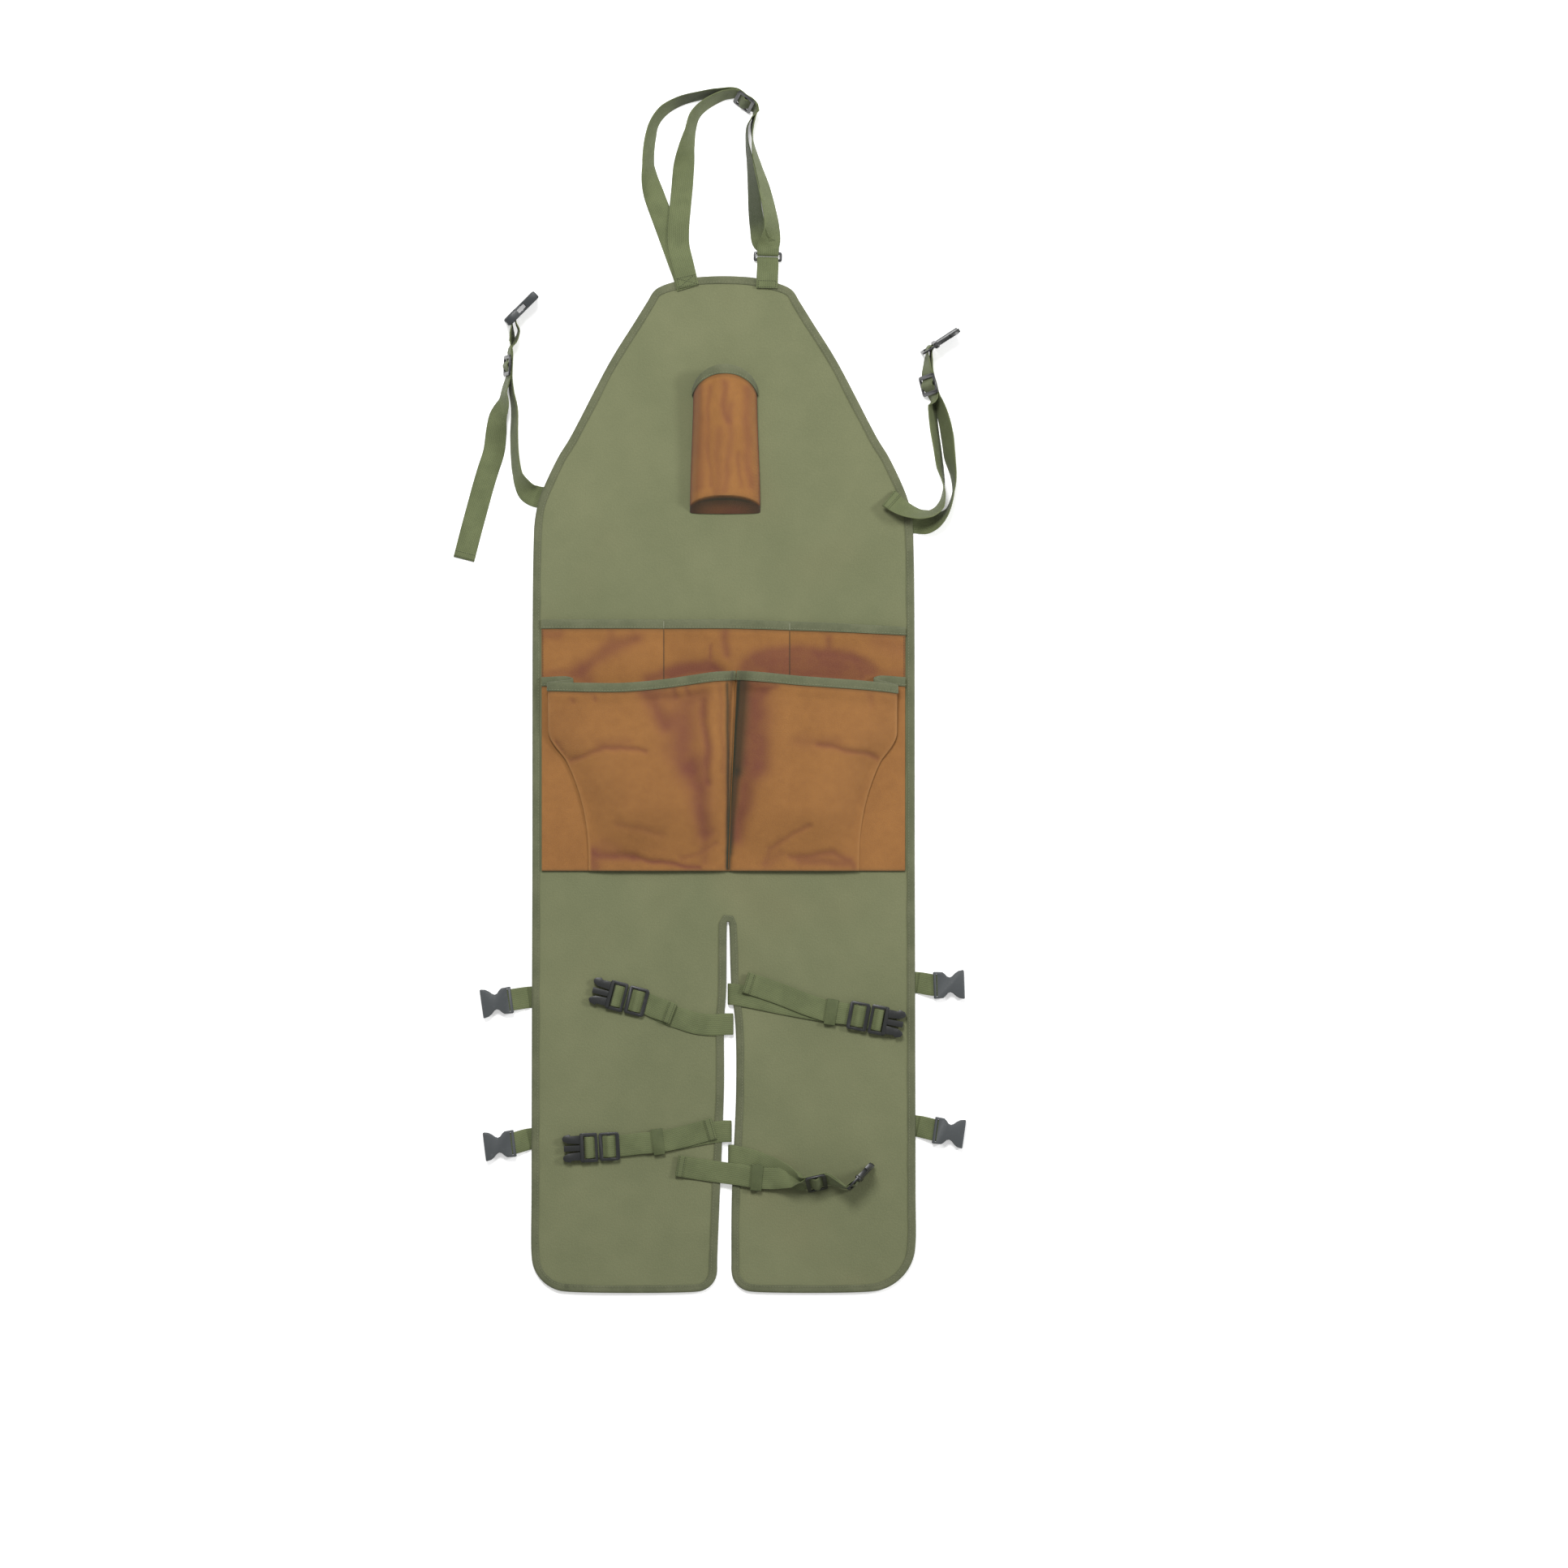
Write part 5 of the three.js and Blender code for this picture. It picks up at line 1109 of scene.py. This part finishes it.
HEM = 0.0095
HEM_PLACES = np.array([0.0003, 0.0008, 0.0025, 0.005, 0.0075, HEM - 0.0006, HEM])
HEM_SINK = 0.0006 * np.array([1, 0.2, 0, 0, 0, 0.2, 1])
HEM_LAYER = WEBBING * 0.98


def hem(node):
    """The end of a strap turned over once and sewn down, as a short second layer."""
    at, w, up, run = seen_end(node)
    middle, across, face = (rows_at(rows, run, HEM_PLACES) for rows in (at, w, up))
    skin = strap_skin(middle + face * (HEM_LAYER - HEM_SINK)[:, None], across * 0.985, face)
    mesh = swept(node + "_hem", skin, SECTION_ACROSS, HEM_PLACES, soiled=0 * HEM_PLACES)
    piece(node + "_hem", mesh, webbing_look, None)


NEAR, BOX, SIDE = 0.0012, 0.0115, 0.82
sewn = []
for node, far in (("neck_strap", BOX), ("neck_tab", 0.0085)):
    sewn.append(sewn_line(node, [(NEAR, -SIDE), (far, -SIDE), (far, SIDE), (NEAR, SIDE), (NEAR, -SIDE)]))
for side in (-SIDE, SIDE):
    sewn.append(sewn_line("neck_strap", [(NEAR, side), (BOX, -side)]))
for node in strap_paths:
    if node.startswith(("waist_strap", "leg_strap")):
        hem(node)
        for along in (0.002, 0.0078):
            sewn.append(sewn_line(node, [(along, -0.86), (along, 0.86)], HEM_LAYER))
stitched("strap_stitches", sewn, webbing_thread,
         pitch=0.0026, length=0.0021, thickness=0.0006)

# Buckles, tri-glides and keepers
# Side-release plugs and sockets, tri-glides and the ring bar are moulded in dark grey plastic. The
# keepers are short loops of the same webbing.


def plastic_finish(name, colour):
    """Moulded plastic with a fine grain and a few scuffs."""
    finish = Finish(name, specular_ior_level=0.55)
    vector, _ = finish.place()
    grain = finish.noise(vector, 1400.0, 2.0)
    scuffs = finish.noise(vector, 180.0, 4.0).between(0.55, 0.8)
    lighter = tuple(c * 1.6 + 0.004 for c in colour)
    worn = finish.mixed(colour, lighter, scuffs * 0.4)
    return finish.wear(worn, 0.28 + 0.14 * grain + 0.12 * scuffs, grain, 0.00006)


dark_plastic = plastic_finish("dark_plastic", (0.012, 0.013, 0.0128))
grey_plastic = plastic_finish("grey_plastic", (0.055, 0.061, 0.064))
# A darker copy of the socket plastic: painted shade for the waist socket's hollow.
charcoal_plastic = plastic_finish("charcoal_plastic", (0.03, 0.034, 0.036))


def moulded(name, node, look, radius=0.0004):
    """The CAD solid with its flat faces joined up and its edges rounded, as they come from the mould."""
    shell = merged(node)
    bmesh.ops.dissolve_limit(shell, angle_limit=math.radians(1), verts=shell.verts, edges=shell.edges)
    mesh = bpy.data.meshes.new(name)
    shell.to_mesh(mesh)
    shell.free()
    thing = placed(name, mesh)
    bevel = thing.modifiers.new("mould radius", "BEVEL")
    bevel.width = radius
    bevel.segments = 2
    bevel.limit_method = "ANGLE"
    bevel.angle_limit = math.radians(35)
    done = as_mesh(name, thing)
    done.set_sharp_from_angle(angle=math.radians(40))
    piece(name, done, look, node)


for node in sorted(solids):
    if "socket" in node:
        # The waist socket gets the darker copy, painted shade for its hollow.
        socket_look = charcoal_plastic if node == "waist_socket" else grey_plastic
        moulded(node + "_moulding", node, socket_look, radius=0.0005)
    elif "plug" in node or "slider" in node or node == "neck_ring":
        moulded(node + "_moulding", node, dark_plastic)
    elif "keeper" in node:
        moulded(node + "_loop", node, webbing_look, radius=0.0003)

# Floor, lamps and camera
# A plain white floor under soft studio light, seen from straight above the apron.
scene = bpy.context.scene
scene.view_settings.view_transform = "Standard"
FLOOR_HALF = 30
floor_corners = [(x * FLOOR_HALF, y * FLOOR_HALF, 0) for x, y in ((-1, -1), (1, -1), (1, 1), (-1, 1))]
floor_mesh = bpy.data.meshes.new("floor")
floor_mesh.from_pydata(floor_corners, [], [(0, 1, 2, 3)])
floor = placed("floor", floor_mesh)
WHITE = (1, 1, 1, 1)
paper = Finish("white_paper", base_color=(0.95, 0.95, 0.95, 1), roughness=0.9, specular_ior_level=0.1,
               emission_color=WHITE, emission_strength=0.34)
floor_mesh.materials.append(paper.material)

world = bpy.data.worlds.new("studio")
scene.world = world
world.use_nodes = True
world.node_tree.nodes["Background"].inputs["Color"].default_value = WHITE
world.node_tree.nodes["Background"].inputs["Strength"].default_value = 0.44


def lamp(name, place, aim, size, power):
    """A round softbox that points at a place."""
    light = bpy.data.lights.new(name, "AREA")
    light.shape = "DISK"
    light.size = size
    light.energy = power
    holder = placed(name, light)
    holder.location = place
    holder.rotation_euler = (Vector(aim) - Vector(place)).to_track_quat("-Z", "Y").to_euler()
    holder.visible_camera = False


lamp("softbox_above", (-0.4, 1.8, 2.9), (-0.1, 0.3, 0), 1.2, 98)
lamp("softbox_right", (3.4, 1.0, 2.6), (0, 0.3, 0), 0.9, 84)

VIEW_WIDTH = 1.826
VIEW_HEIGHT = 7.0
VIEW_CENTRE = 0.0704
SENSOR = 36
camera_data = bpy.data.cameras.new("camera")
camera_data.sensor_width = SENSOR
camera_data.lens = SENSOR * VIEW_HEIGHT / VIEW_WIDTH
camera = placed("camera", camera_data)
camera.location = (VIEW_CENTRE, 0, VIEW_HEIGHT)
scene.camera = camera

bpy.context.view_layer.update()
